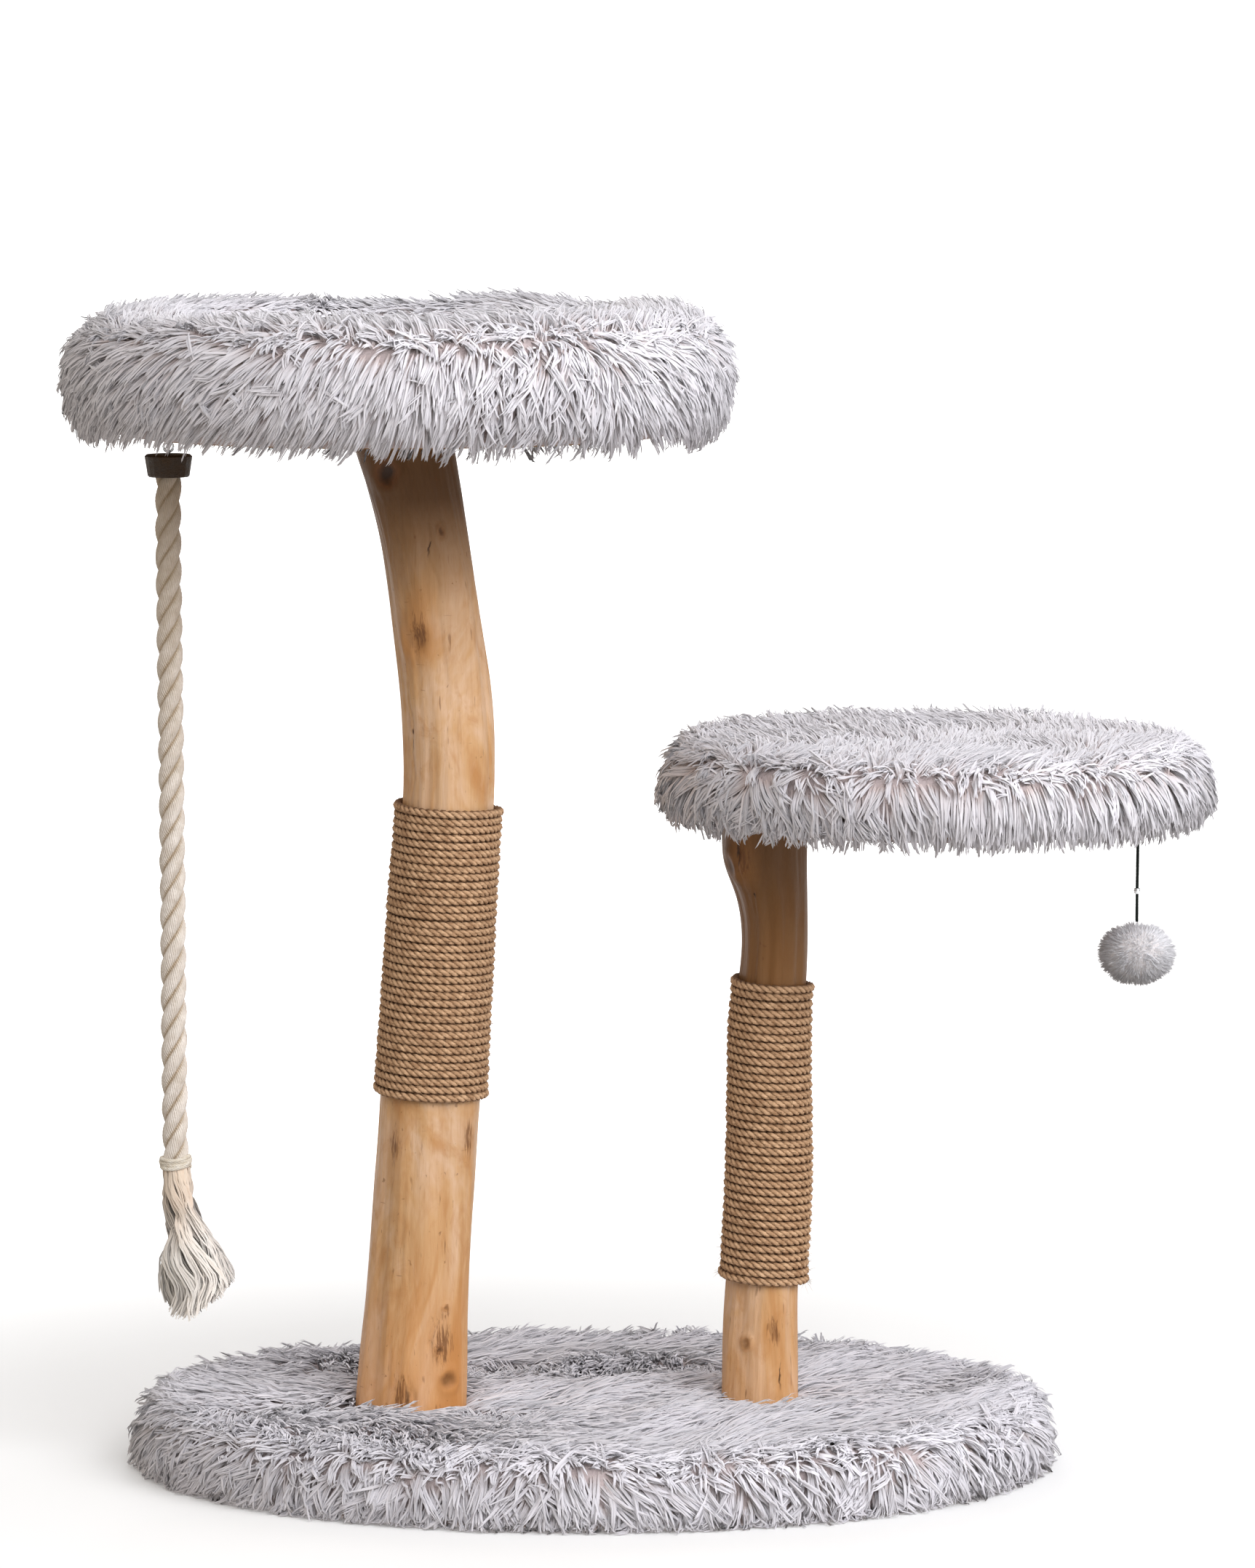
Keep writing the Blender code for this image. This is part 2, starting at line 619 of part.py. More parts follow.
def build_pompom_toy(board, board_low, materials):
    """Screw eye, cord loop, cord with its bead, and the pompom, hanging under the perch."""
    spot = (TOY_X, TOY_Y)
    eye_wire = screw_eye("toy_screw_eye", spot, board, board_low, TOY_RING, TOY_WIRE, materials["steel"])
    loop_centre = hung_ring_centre(eye_wire, TOY_RING, TOY_WIRE)
    loop_wire = loop_centre - TOY_RING
    ring_mesh("toy_loop", (*spot, loop_centre), TOY_RING, TOY_WIRE, "Y", materials["elastic"])

    # The knot is a small ring through the loop, tied off in a ball that the cord comes out of.
    knot_centre = hung_ring_centre(loop_wire, TOY_RING, TOY_WIRE)
    knot = ring_mesh("toy_top_knot", (*spot, knot_centre), TOY_RING, TOY_WIRE, "X", materials["elastic"])
    ball_top = knot_centre - TOY_RING + TOY_WIRE
    ball_profile = [(radius, ball_top - depth) for radius, depth in KNOT_BALL_OUTLINE]
    ball = turned("toy_knot_ball", spot, ball_profile, None, PIN_SIDES)
    combine(knot, ball, "UNION")

    cord_top = ball_profile[-1][1] - GAP
    cord_bottom = POMPOM_CENTRE + POMPOM_RADII[2] + GAP
    route = [
        (*spot, cord_top),
        (TOY_X - 0.7 * TOY_LEAN, TOY_Y, TOY_BEAD_HEIGHT + 0.012),
        (TOY_X - TOY_LEAN, TOY_Y, TOY_BEAD_HEIGHT),
        (TOY_X - TOY_LEAN, TOY_Y, cord_bottom),
    ]
    tube("toy_cord", route, TOY_CORD_RADIUS, TOY_CORD_SPACING, 2, materials["elastic"])

    hole, top, bottom = TOY_CORD_RADIUS + LOOSE_GAP, TOY_BEAD_HALF_LENGTH, -TOY_BEAD_HALF_LENGTH
    outline = [
        (hole, bottom),
        (hole, top),
        (TOY_BEAD_END_RADIUS, top),
        (TOY_BEAD_RADIUS, 0.0),
        (TOY_BEAD_END_RADIUS, bottom),
    ]
    bead = [(radius, TOY_BEAD_HEIGHT + height) for radius, height in outline]
    turned("toy_bead", (TOY_X - TOY_LEAN, TOY_Y), bead, materials["steel"], PIN_SIDES, looped=True)

    # The pompom is an ellipsoid with its two tips cut flat.
    rings = []
    for i in range(1, POMPOM_RINGS):
        angle = -math.pi / 2 + math.pi * i / POMPOM_RINGS
        flat = math.cos(angle)
        height = POMPOM_CENTRE + POMPOM_RADII[2] * math.sin(angle)
        rings.append(oval(spot, POMPOM_RADII[0] * flat, POMPOM_RADII[1] * flat, height, SMALL_SIDES))
    loft("pompom", rings, materials["pompom"])


def make_materials():
    return {
        "fur": make_material("grey_fur", (0.74, 0.72, 0.76), 0.95),
        "pompom": make_material("pompom_fur", (0.66, 0.66, 0.69), 0.95),
        "board": make_material("plywood", (0.62, 0.46, 0.29), 0.70),
        "foam": make_material("foam", (0.86, 0.84, 0.76), 0.95),
        "felt": make_material("black_felt", (0.05, 0.05, 0.05), 0.95),
        "steel": make_material("zinc_steel", (0.68, 0.69, 0.70), 0.35, 1.0),
        "trunk": make_material("natural_wood", (0.60, 0.38, 0.19), 0.55),
        "jute": make_material("jute_rope", (0.45, 0.29, 0.16), 0.90),
        "rope": make_material("cotton_rope", (0.74, 0.63, 0.46), 0.90),
        "cap": make_material("brown_end_cap", (0.075, 0.045, 0.020), 0.55),
        "elastic": make_material("black_elastic", (0.02, 0.025, 0.02), 0.70),
    }


def main():
    clear_scene()
    materials = make_materials()
    build_base(materials)
    build_trunk("tall_trunk", TALL_STATIONS, TALL_WRAP_RANGE, materials)
    build_trunk("short_trunk", SHORT_STATIONS, SHORT_WRAP_RANGE, materials)
    bed_board, bed_low = build_upper_bed(materials)
    perch_board, perch_low = build_perch(materials)
    build_play_rope(bed_board, bed_low, materials)
    build_pompom_toy(perch_board, perch_low, materials)


main()
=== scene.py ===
"""Looks of the cat tree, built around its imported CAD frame.

The fur is real geometry: locks of tapered strands grown from each fabric skin, combed by a flow field and
lying over each other. Ropes are laid from twisted yarns, and the trunks are carved meshes. Metres, +Z up.
"""

import math

import bmesh
import bpy
import numpy as np
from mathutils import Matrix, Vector
from mathutils.bvhtree import BVHTree
from mathutils.kdtree import KDTree


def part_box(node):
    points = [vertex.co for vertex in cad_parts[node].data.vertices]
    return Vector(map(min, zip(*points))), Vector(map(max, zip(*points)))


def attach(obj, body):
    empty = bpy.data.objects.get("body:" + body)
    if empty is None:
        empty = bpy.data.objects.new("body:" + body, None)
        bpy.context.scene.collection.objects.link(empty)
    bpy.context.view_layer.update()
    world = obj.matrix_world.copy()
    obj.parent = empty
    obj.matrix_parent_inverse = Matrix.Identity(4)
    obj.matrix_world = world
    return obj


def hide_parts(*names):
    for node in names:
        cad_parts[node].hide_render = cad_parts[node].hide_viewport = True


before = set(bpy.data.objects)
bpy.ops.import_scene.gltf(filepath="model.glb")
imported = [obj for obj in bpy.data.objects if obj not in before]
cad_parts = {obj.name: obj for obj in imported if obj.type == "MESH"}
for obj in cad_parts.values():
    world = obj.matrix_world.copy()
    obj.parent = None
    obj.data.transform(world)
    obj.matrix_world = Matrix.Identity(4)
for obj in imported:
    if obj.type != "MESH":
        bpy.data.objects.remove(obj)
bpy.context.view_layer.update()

UP = np.array([0.0, 0.0, 1.0])

# The camera stands level with the upper bed and looks slightly down.
CAMERA_PLACE = (0.0264, -4.5, 1.0352)
CAMERA_PITCH_DEG = 6.52
CAMERA_LENS_MM = 137.7

# Trunk stations and section lobes, as in the CAD: (height, centre x, centre y, radius).
TALL_STATIONS = [
    (0.0256, -0.1390, -0.022, 0.0415),
    (0.0850, -0.1348, -0.020, 0.0400),
    (0.1500, -0.1309, -0.016, 0.0384),
    (0.2777, -0.1239, -0.010, 0.0377),
    (0.4276, -0.1143, -0.006, 0.0366),
    (0.5435, -0.1076, -0.006, 0.0352),
    (0.6340, -0.1142, -0.008, 0.0339),
    (0.7000, -0.1243, -0.008, 0.0338),
    (0.7817, -0.1420, -0.004, 0.0375),
]
SHORT_STATIONS = [
    (0.0256, 0.1272, -0.016, 0.0292),
    (0.1100, 0.1280, -0.014, 0.0278),
    (0.2200, 0.1331, -0.010, 0.0276),
    (0.3300, 0.1336, -0.008, 0.0266),
    (0.4353, 0.1356, -0.009, 0.0266),
    (0.4640, 0.1300, -0.011, 0.0315),
    (0.4987, 0.1290, -0.012, 0.0330),
]
LOBES = [(2, 0.024, 0.6, 5.0), (3, 0.014, 2.1, -7.0)]

# The play rope's route, from its end cap down to the whipping, as in the CAD.
ROPE_X = -0.3180
ROPE_END = 0.2258
ROPE_RADIUS = 0.010
ROPE_ROUTE = [
    (ROPE_X, 0.0, 0.7657),
    (ROPE_X - 0.0006, 0.0004, 0.720),
    (ROPE_X - 0.0004, 0.0002, 0.640),
    (ROPE_X + 0.0001, -0.0003, 0.540),
    (ROPE_X + 0.0004, -0.0002, 0.430),
    (ROPE_X + 0.0004, 0.0002, 0.320),
    (ROPE_X + 0.0008, 0.0, ROPE_END),
]
TASSEL_STATIONS = [
    (0.1145, -0.2980, 0.0, 0.0335),
    (0.1300, -0.2970, 0.0, 0.0330),
    (0.1426, -0.2975, 0.0, 0.0315),
    (0.1573, -0.3042, 0.0, 0.0260),
    (0.1725, -0.3080, 0.0, 0.0180),
    (0.1927, -0.3110, 0.0, 0.0140),
    (0.2129, -0.3150, 0.0, 0.0112),
    (0.2300, -0.3171, 0.0, 0.0100),
]

# The toy's cord, which leans a little by the time it reaches the bead, as in the CAD.
TOY_X, TOY_Y = 0.4096, -0.030
TOY_LEAN = 0.0003
TOY_BEAD_HEIGHT = 0.4435
TOY_CORD_RADIUS = 0.00115

# Jute windings.
JUTE_RADIUS = 0.0031
TALL_WRAP_RANGE = (0.284, 0.510)
SHORT_WRAP_RANGE = (0.142, 0.3765)

# Fur: where along a strand its points lie, how much of the pile they rise, and how thick it is there.
SHARES = (0.0, 0.24, 0.52, 0.84, 1.0)
RISES = (0.0, 0.62, 0.95, 1.0, 0.86)
TAPER = (0.75, 1.0, 1.0, 0.80, 0.0)
STRANDS_PER_PIECE = 8800
# The distance between the points of a padded skin's outline.
OUTLINE_SPACING = 0.008
# How far the long fur of the beds hangs below them.
FUR_BELOW_BED = 0.009
# Skin that faces down more than this grows no fur.
BARE_BELOW = -0.6
# How far a strand catches light like the pile as a whole, from 0 to 1.
PILE_LIGHT = 0.84


# ---------------------------------------------------------------- small helpers


def srgb(red, green, blue):
    """A display colour as the linear colour that shaders take."""
    channels = [red, green, blue]
    return tuple(c / 12.92 if c <= 0.04045 else ((c + 0.055) / 1.055) ** 2.4 for c in channels)


def unit(vectors):
    return vectors / np.maximum(np.linalg.norm(vectors, axis=-1, keepdims=True), 1e-12)


def smoothstep(low, high, value):
    t = np.clip((value - low) / (high - low), 0, 1)
    return t * t * (3 - 2 * t)


def wave_noise(points, scale, seed, octaves=9):
    """Smooth noise of about -1 to 1 at points, from a few fixed random waves about scale metres long."""
    rng = np.random.default_rng(seed)
    directions = unit(rng.normal(size=(octaves, 3)))
    lengths = scale * rng.uniform(0.6, 1.8, octaves)
    phases = rng.uniform(0, 2 * math.pi, octaves)
    waves = np.sin(points @ (directions / lengths[:, None]).T * 2 * math.pi + phases)
    return waves.sum(axis=-1) * math.sqrt(2 / octaves) * 0.7


def through(stations, height):
    """The station values at each height, on a smooth cubic curve through the stations."""
    table = np.array(stations)
    heights = table[:, 0]
    height = np.asarray(height, float)
    slopes = np.gradient(table[:, 1:], heights, axis=0)
    i = np.clip(np.searchsorted(heights, height) - 1, 0, len(heights) - 2)
    span = (heights[i + 1] - heights[i])[..., None]
    t = (height - heights[i])[..., None] / span
    start = (2 * t**3 - 3 * t**2 + 1) * table[i, 1:] + (t**3 - 2 * t**2 + t) * span * slopes[i]
    end = (3 * t**2 - 2 * t**3) * table[i + 1, 1:] + (t**3 - t**2) * span * slopes[i + 1]
    return start + end


def trunk_surface(stations, height, angle, growth=0.0):
    """Points on the trunk's wavy skin at heights and angles, grown outwards by growth."""
    values = through(stations, height)
    wave = sum(size * np.cos(n * angle + phase + turn * height) for n, size, phase, turn in LOBES)
    reach = values[..., 2] * (1 + wave) + growth
    return np.stack(
        [values[..., 0] + reach * np.cos(angle), values[..., 1] + reach * np.sin(angle), height + 0 * angle],
        axis=-1,
    )


# ---------------------------------------------------------------- meshes


def triangle_mesh(name, points, triangles, material, coordinates=None, normals=None):
    """A mesh object from arrays. coordinates, one pair a point, become the layer that its colours follow,
    and normals, one a point, the way that it catches light."""
    mesh = bpy.data.meshes.new(name)
    mesh.vertices.add(len(points))
    mesh.vertices.foreach_set("co", np.ascontiguousarray(points, np.float32).ravel())
    mesh.loops.add(3 * len(triangles))
    corners = np.ascontiguousarray(triangles, np.int32).ravel()
    mesh.loops.foreach_set("vertex_index", corners)
    mesh.polygons.add(len(triangles))
    mesh.polygons.foreach_set("loop_start", np.arange(0, 3 * len(triangles), 3, dtype=np.int32))
    if coordinates is not None:
        layer = mesh.uv_layers.new(name="OFBake")
        layer.data.foreach_set("uv", np.ascontiguousarray(coordinates[corners], np.float32).ravel())
    mesh.update(calc_edges=True)
    mesh.polygons.foreach_set("use_smooth", np.ones(len(triangles), bool))
    if normals is not None:
        mesh.normals_split_custom_set_from_vertices(normals)
    mesh.materials.append(material)
    obj = bpy.data.objects.new(name, mesh)
    bpy.context.scene.collection.objects.link(obj)
    return obj


def tube_rings(paths, radii, sides, flatness, ridge, lay, seed):
    """The rings of points round each path (tube, point, side, xyz). A ridged tube has raised lines that
    twist once round it for each lay of its length."""
    count, length = paths.shape[:2]
    tangents = unit(np.gradient(paths, axis=1))
    across = np.random.default_rng(seed).normal(size=(count, 3))
    sideways = np.empty_like(paths)
    for k in range(length):
        tangent = tangents[:, k]
        across = unit(across - (across * tangent).sum(-1, keepdims=True) * tangent)
        sideways[:, k] = across
    other = np.cross(tangents, sideways)
    side = np.arange(sides)
    angle = np.broadcast_to(2 * math.pi * side / sides, (count, length, sides))
    if lay:
        gaps = np.linalg.norm(np.diff(paths, axis=1), axis=-1)
        along = np.concatenate([np.zeros((count, 1)), np.cumsum(gaps, axis=1)], axis=1)
        angle = angle + (2 * math.pi * along / lay)[..., None]
    ring = (
        np.cos(angle)[..., None] * sideways[:, :, None]
        + np.sin(angle)[..., None] * flatness * other[:, :, None]
    )
    swell = 1 + ridge * np.where(side % 2, -1.0, 1.0)
    return paths[:, :, None, :] + radii[:, :, None, None] * swell[:, None] * ring


def tube_arrays(paths, radii, sides, pointed=False, flatness=1.0, ridge=0.0, lay=None, seed=1):
    """Closed tubes along paths (tube, point, xyz) with radii (tube, point): points, triangles and each
    point's share of the way along its tube. A pointed tube ends in one point."""
    count, length = paths.shape[:2]
    points = tube_rings(paths, radii, sides, flatness, ridge, lay, seed)
    along = np.broadcast_to(np.linspace(0, 1, length)[None, :, None], (count, length, sides))
    rings = length - 1 if pointed else length
    side = np.arange(sides)
    beside = (side + 1) % sides
    fan = np.arange(1, sides - 1)
    pattern = [np.stack([0 * fan, fan + 1, fan], axis=1)]
    for k in range(rings - 1):
        low, high = k * sides, (k + 1) * sides
        pattern.append(np.stack([low + side, low + beside, high + beside], axis=1))
        pattern.append(np.stack([low + side, high + beside, high + side], axis=1))
    last = (rings - 1) * sides
    if pointed:
        tip = rings * sides
        pattern.append(np.stack([last + side, last + beside, 0 * side + tip], axis=1))
        flat = np.concatenate([points[:, :rings].reshape(count, -1, 3), paths[:, -1:, :]], axis=1)
        shares = np.concatenate([along[:, :rings].reshape(count, -1), np.ones((count, 1))], axis=1)
    else:
        pattern.append(np.stack([last + 0 * fan, last + fan, last + fan + 1], axis=1))
        flat = points.reshape(count, -1, 3)
        shares = along.reshape(count, -1)
    each = flat.shape[1]
    triangles = np.concatenate(pattern)[None] + (np.arange(count) * each)[:, None, None]
    return flat.reshape(-1, 3), triangles.reshape(-1, 3), shares.reshape(-1)


def tube_piece(name, paths, radii, sides, material, tones=None, facing=None, seed=1, **shape):
    """One mesh of many tubes. Its colours follow (tone of the tube, share of the way along it). facing,
    a direction for each point of the paths, makes fine strands catch light together as one soft pile."""
    points, triangles, shares = tube_arrays(paths, radii, sides, seed=seed, **shape)
    if tones is None:
        tones = np.random.default_rng(seed + 7).random(len(paths))
    tone = np.repeat(tones, len(points) // len(paths))
    coordinates = np.stack([0.02 + 0.96 * np.clip(tone, 0, 1), 0.02 + 0.96 * shares], axis=1)
    normals = None
    if facing is not None:
        ring = np.rint(shares * (paths.shape[1] - 1)).astype(int)
        tube = np.repeat(np.arange(len(paths)), len(points) // len(paths))
        own = unit(points - paths[tube, ring])
        normals = unit(PILE_LIGHT * facing[tube, ring] + (1 - PILE_LIGHT) * own)
    return triangle_mesh(name, points, triangles, material, coordinates, normals)


def grid_solid(name, rings, material, looped=False):
    """A closed solid through rings of equal point count, with a flat fan at each end unless it loops."""
    rings = np.asarray(rings)
    count, sides = rings.shape[:2]
    points = rings.reshape(-1, 3)
    side = np.arange(sides)
    beside = (side + 1) % sides
    triangles = []
    for k in range(count if looped else count - 1):
        low, high = k * sides, ((k + 1) % count) * sides
        triangles.append(np.stack([low + side, low + beside, high + beside], axis=1))
        triangles.append(np.stack([low + side, high + beside, high + side], axis=1))
    if not looped:
        middles = np.stack([rings[0].mean(axis=0), rings[-1].mean(axis=0)])
        foot, head = len(points), len(points) + 1
        last = (count - 1) * sides
        points = np.concatenate([points, middles])
        triangles.append(np.stack([0 * side + foot, beside, side], axis=1))
        triangles.append(np.stack([0 * side + head, last + side, last + beside], axis=1))
    return triangle_mesh(name, points, np.concatenate(triangles), material)


def place(obj, body, slot, *nodes):
    """Rides the piece on a body and hides the CAD nodes that it stands for. slot is not used."""
    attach(obj, body)
    if nodes:
        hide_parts(*nodes)
    return obj


# ---------------------------------------------------------------- materials


def fill_ramp(node, stops):
    """Sets a colour ramp. stops are (position, colour), a colour being three numbers."""
    elements = node.color_ramp.elements
    while len(elements) < len(stops):
        elements.new(0.5)
    for element, (position, colour) in zip(elements, stops):
        element.position = position
        element.color = (*colour, 1.0)


class Nodes:
    """A short way to write a material's node tree around one Principled shader."""

    def __init__(self, name, roughness=0.6, metallic=0.0):
        self.material = bpy.data.materials.new(name)
        self.material.use_nodes = True
        self.tree = self.material.node_tree
        self.shader = self.tree.nodes["Principled BSDF"]
        self.shader.inputs["Roughness"].default_value = roughness
        self.shader.inputs["Metallic"].default_value = metallic

    def add(self, kind, inputs=(), **settings):
        node = self.tree.nodes.new(kind)
        for name, value in settings.items():
            setattr(node, name, value)
        for name, value in dict(inputs).items():
            if isinstance(value, bpy.types.NodeSocket):
                self.tree.links.new(value, node.inputs[name])
            else:
                node.inputs[name].default_value = value
        return node

    def place_of(self, stretch=(1, 1, 1)):
        """The point of the object that is shaded, with its axes scaled."""
        where = self.add("ShaderNodeTexCoord").outputs["Object"]
        return self.add("ShaderNodeMapping", {"Vector": where, "Scale": stretch}).outputs["Vector"]

    def noise(self, vector, scale, detail=4.0, roughness=0.55, distortion=0.0):
        inputs = {
            "Vector": vector,
            "Scale": scale,
            "Detail": detail,
            "Roughness": roughness,
            "Distortion": distortion,
        }
        return self.add("ShaderNodeTexNoise", inputs).outputs["Fac"]

    def cells(self, scale):
        """The distance from the middle of each of many small cells."""
        inputs = {"Vector": self.place_of(), "Scale": scale}
        return self.add("ShaderNodeTexVoronoi", inputs).outputs["Distance"]

    def ramp(self, factor, stops):
        node = self.add("ShaderNodeValToRGB", {"Fac": factor})
        fill_ramp(node, stops)
        return node.outputs["Color"]

    def grey_ramp(self, factor, low, high, dark=0.0, light=1.0):
        return self.ramp(factor, [(low, (dark,) * 3), (high, (light,) * 3)])

    def spread(self, value, low, high, first=0.0, last=1.0):
        """The value mapped from low..high to first..last and held at the ends."""
        inputs = {"Value": value, "From Min": low, "From Max": high, "To Min": first, "To Max": last}
        return self.add("ShaderNodeMapRange", inputs).outputs["Result"]

    def mix(self, factor, first, second, blend="MIX"):
        node = self.add("ShaderNodeMix", data_type="RGBA", blend_type=blend)
        for index, value in ((0, factor), (6, first), (7, second)):
            if isinstance(value, bpy.types.NodeSocket):
                self.tree.links.new(value, node.inputs[index])
            elif index:
                node.inputs[index].default_value = (*value, 1.0)
            else:
                node.inputs[index].default_value = value
        return node.outputs[2]

    def near(self, vector, point, reach):
        """1 at a point of the object, falling to 0 at reach from it."""
        far = self.add("ShaderNodeVectorMath", {0: vector, 1: point}, operation="DISTANCE").outputs["Value"]
        return self.spread(far, 0.0, reach, 1.0, 0.0)

    def colour(self, value):
        self.tree.links.new(value, self.shader.inputs["Base Color"])

    def roughness(self, value):
        self.tree.links.new(value, self.shader.inputs["Roughness"])

    def bump(self, height, distance, strength=1.0):
        inputs = {"Height": height, "Distance": distance, "Strength": strength}
        normal = self.add("ShaderNodeBump", inputs).outputs["Normal"]
        self.tree.links.new(normal, self.shader.inputs["Normal"])


def strand_material(name, root, middle, tip, roughness=0.62, sheen=0.0, contrast=0.28):
    """Colour from root to tip along each strand, darker towards the root partly as the fibres' own colour
    and partly as painted shade where the strands crowd together, and paler or darker from strand to strand.
    """
    nodes = Nodes(name, roughness)
    where = nodes.add("ShaderNodeUVMap", uv_map="OFBake").outputs["UV"]
    split = nodes.add("ShaderNodeSeparateXYZ", {"Vector": where})
    # Darker towards the root: partly the fibres' own colour, partly painted shade deep in the pile.
    length = nodes.ramp(split.outputs["Y"], [(0.0, root), (0.28, middle), (0.60, tip), (1.0, tip)])
    tone = nodes.ramp(split.outputs["X"], [(0.0, middle), (0.55, (0.95, 0.95, 0.95)), (1.0, (1.0, 1.0, 1.0))])
    nodes.colour(nodes.mix(contrast, length, tone, "MULTIPLY"))
    nodes.shader.inputs["Sheen Weight"].default_value = sheen
    nodes.shader.inputs["Sheen Roughness"].default_value = 0.4
    nodes.shader.inputs["Specular IOR Level"].default_value = 0.22
    return nodes.material


def pelt_material(name, colour):
    """The knitted backing of the fur, seen only in the partings."""
    nodes = Nodes(name, 0.95)
    knit = nodes.noise(nodes.place_of(), 420.0, 3.0)
    patches = nodes.noise(nodes.place_of(), 22.0, 3.0)
    dark = tuple(0.82 * c for c in colour)
    shade = nodes.mix(nodes.grey_ramp(patches, 0.35, 0.65), dark, colour)
    nodes.colour(nodes.mix(nodes.grey_ramp(knit, 0.3, 0.7), shade, colour))
    nodes.bump(knit, 0.0008)
    return nodes.material


def trunk_material(name, knots, cracks, smudges, bands):
    """Peeled, sanded and lacquered trunk: mottled stains, faint long fibres, fine dark scratches, smudged
    knots. smudges are (point, reach) where the scratches gather; bands are (low, high, colour, strength)
    that tint the wood along its length: warmer at the foot, and darker towards the top, partly as stain
    and partly as painted shade under the pad that the trunk holds up."""
    nodes = Nodes(name, 0.55)
    where = nodes.place_of()
    warp = nodes.add("ShaderNodeTexNoise", {"Vector": where, "Scale": 60.0, "Detail": 3.0}).outputs["Color"]
    moved = nodes.add("ShaderNodeVectorMath", {0: warp, 1: (-0.5, -0.5, -0.5)}, operation="ADD").outputs[0]
    moved = nodes.add("ShaderNodeVectorMath", {0: moved, "Scale": 0.010}, operation="SCALE").outputs[0]
    bent = nodes.add("ShaderNodeVectorMath", {0: where, 1: moved}, operation="ADD").outputs[0]

    fibres = nodes.noise(nodes.place_of((1, 1, 0.045)), 420.0, 5.0, 0.65, 0.6)
    stains = nodes.noise(nodes.place_of((1, 1, 0.42)), 15.0, 4.0, 0.60, 1.2)
    patches = nodes.noise(nodes.place_of((1, 1, 0.40)), 46.0, 5.0, 0.62, 1.8)
    dashes = nodes.noise(nodes.place_of((1, 1, 0.14)), 310.0, 2.0, 0.5)
    scratches = nodes.noise(nodes.place_of((1, 1, 0.10)), 620.0, 3.0, 0.6, 0.8)
    dots = nodes.noise(nodes.place_of((1, 1, 0.7)), 240.0, 2.0, 0.4, 0.5)
    nicks = nodes.noise(nodes.place_of((0.16, 0.16, 1)), 420.0, 2.0, 0.5)
    blush, tan = srgb(0.845, 0.705, 0.575), srgb(0.800, 0.630, 0.450)
    amber, brown = srgb(0.710, 0.495, 0.290), srgb(0.430, 0.270, 0.150)
    shade = nodes.ramp(stains, [(0.34, amber), (0.47, tan), (0.58, blush), (0.70, tan)])
    shade = nodes.mix(nodes.grey_ramp(patches, 0.50, 0.72, 0.0, 0.55), shade, amber)
    shade = nodes.mix(nodes.grey_ramp(patches, 0.26, 0.42, 0.30, 0.0), shade, blush)
    shade = nodes.mix(nodes.grey_ramp(fibres, 0.42, 0.78, 0.0, 0.34), shade, amber)
    shade = nodes.mix(nodes.grey_ramp(fibres, 0.60, 0.80, 0.0, 0.20), shade, brown)
    height = nodes.add("ShaderNodeSeparateXYZ", {"Vector": bent}).outputs["Z"]
    for place_at, size, _ in knots:
        halo = nodes.near(bent, tuple(place_at), size * 2.0)
        shade = nodes.mix(nodes.grey_ramp(halo, 0.05, 0.55, 0.0, 0.60), shade, amber)
    # Darker towards the top: partly stain, partly painted shade under the pad above.
    for low, high, colour, strength in bands:
        shade = nodes.mix(nodes.spread(height, low, high, 0.0, strength), shade, colour)
    shade = nodes.mix(nodes.grey_ramp(dashes, 0.68, 0.76, 0.0, 0.55), shade, brown)
    shade = nodes.mix(nodes.grey_ramp(scratches, 0.69, 0.75, 0.0, 0.45), shade, brown)
    shade = nodes.mix(nodes.grey_ramp(dots, 0.72, 0.78, 0.0, 0.55), shade, brown)
    for place_at, reach in smudges:
        lengthwise = nodes.add("ShaderNodeMapping", {"Vector": bent, "Scale": (1, 1, 0.42)}).outputs["Vector"]
        near = nodes.near(lengthwise, (place_at[0], place_at[1], place_at[2] * 0.42), reach)
        gathered = nodes.add("ShaderNodeMath", {0: scratches, 1: near}, operation="MULTIPLY").outputs[0]
        shade = nodes.mix(nodes.grey_ramp(near, 0.0, 0.7, 0.0, 0.35), shade, amber)
        shade = nodes.mix(nodes.grey_ramp(gathered, 0.30, 0.46, 0.0, 0.80), shade, brown)
    shade = nodes.mix(nodes.grey_ramp(nicks, 0.74, 0.80, 0.0, 0.35), shade, brown)
    for place_at, size, depth in knots:
        near = nodes.near(bent, tuple(place_at), size * 2.0)
        shade = nodes.mix(nodes.grey_ramp(near, 0.42, 0.62, 0.0, 0.75 * depth), shade, brown)
        shade = nodes.mix(nodes.grey_ramp(near, 0.60, 0.80, 0.0, depth), shade, srgb(0.17, 0.10, 0.05))
    for place_at, size in cracks:
        narrow = nodes.add("ShaderNodeMapping", {"Vector": bent, "Scale": (1, 1, 0.10)}).outputs["Vector"]
        target = (place_at[0], place_at[1], place_at[2] * 0.10)
        near = nodes.near(narrow, target, size)
        shade = nodes.mix(nodes.grey_ramp(near, 0.35, 0.75, 0.0, 0.85), shade, srgb(0.20, 0.11, 0.05))
    nodes.colour(shade)
    nodes.roughness(nodes.grey_ramp(fibres, 0.3, 0.8, 0.44, 0.62))
    nodes.bump(nodes.mix(0.5, fibres, patches), 0.0008)
    nodes.shader.inputs["Specular IOR Level"].default_value = 0.20
    return nodes.material


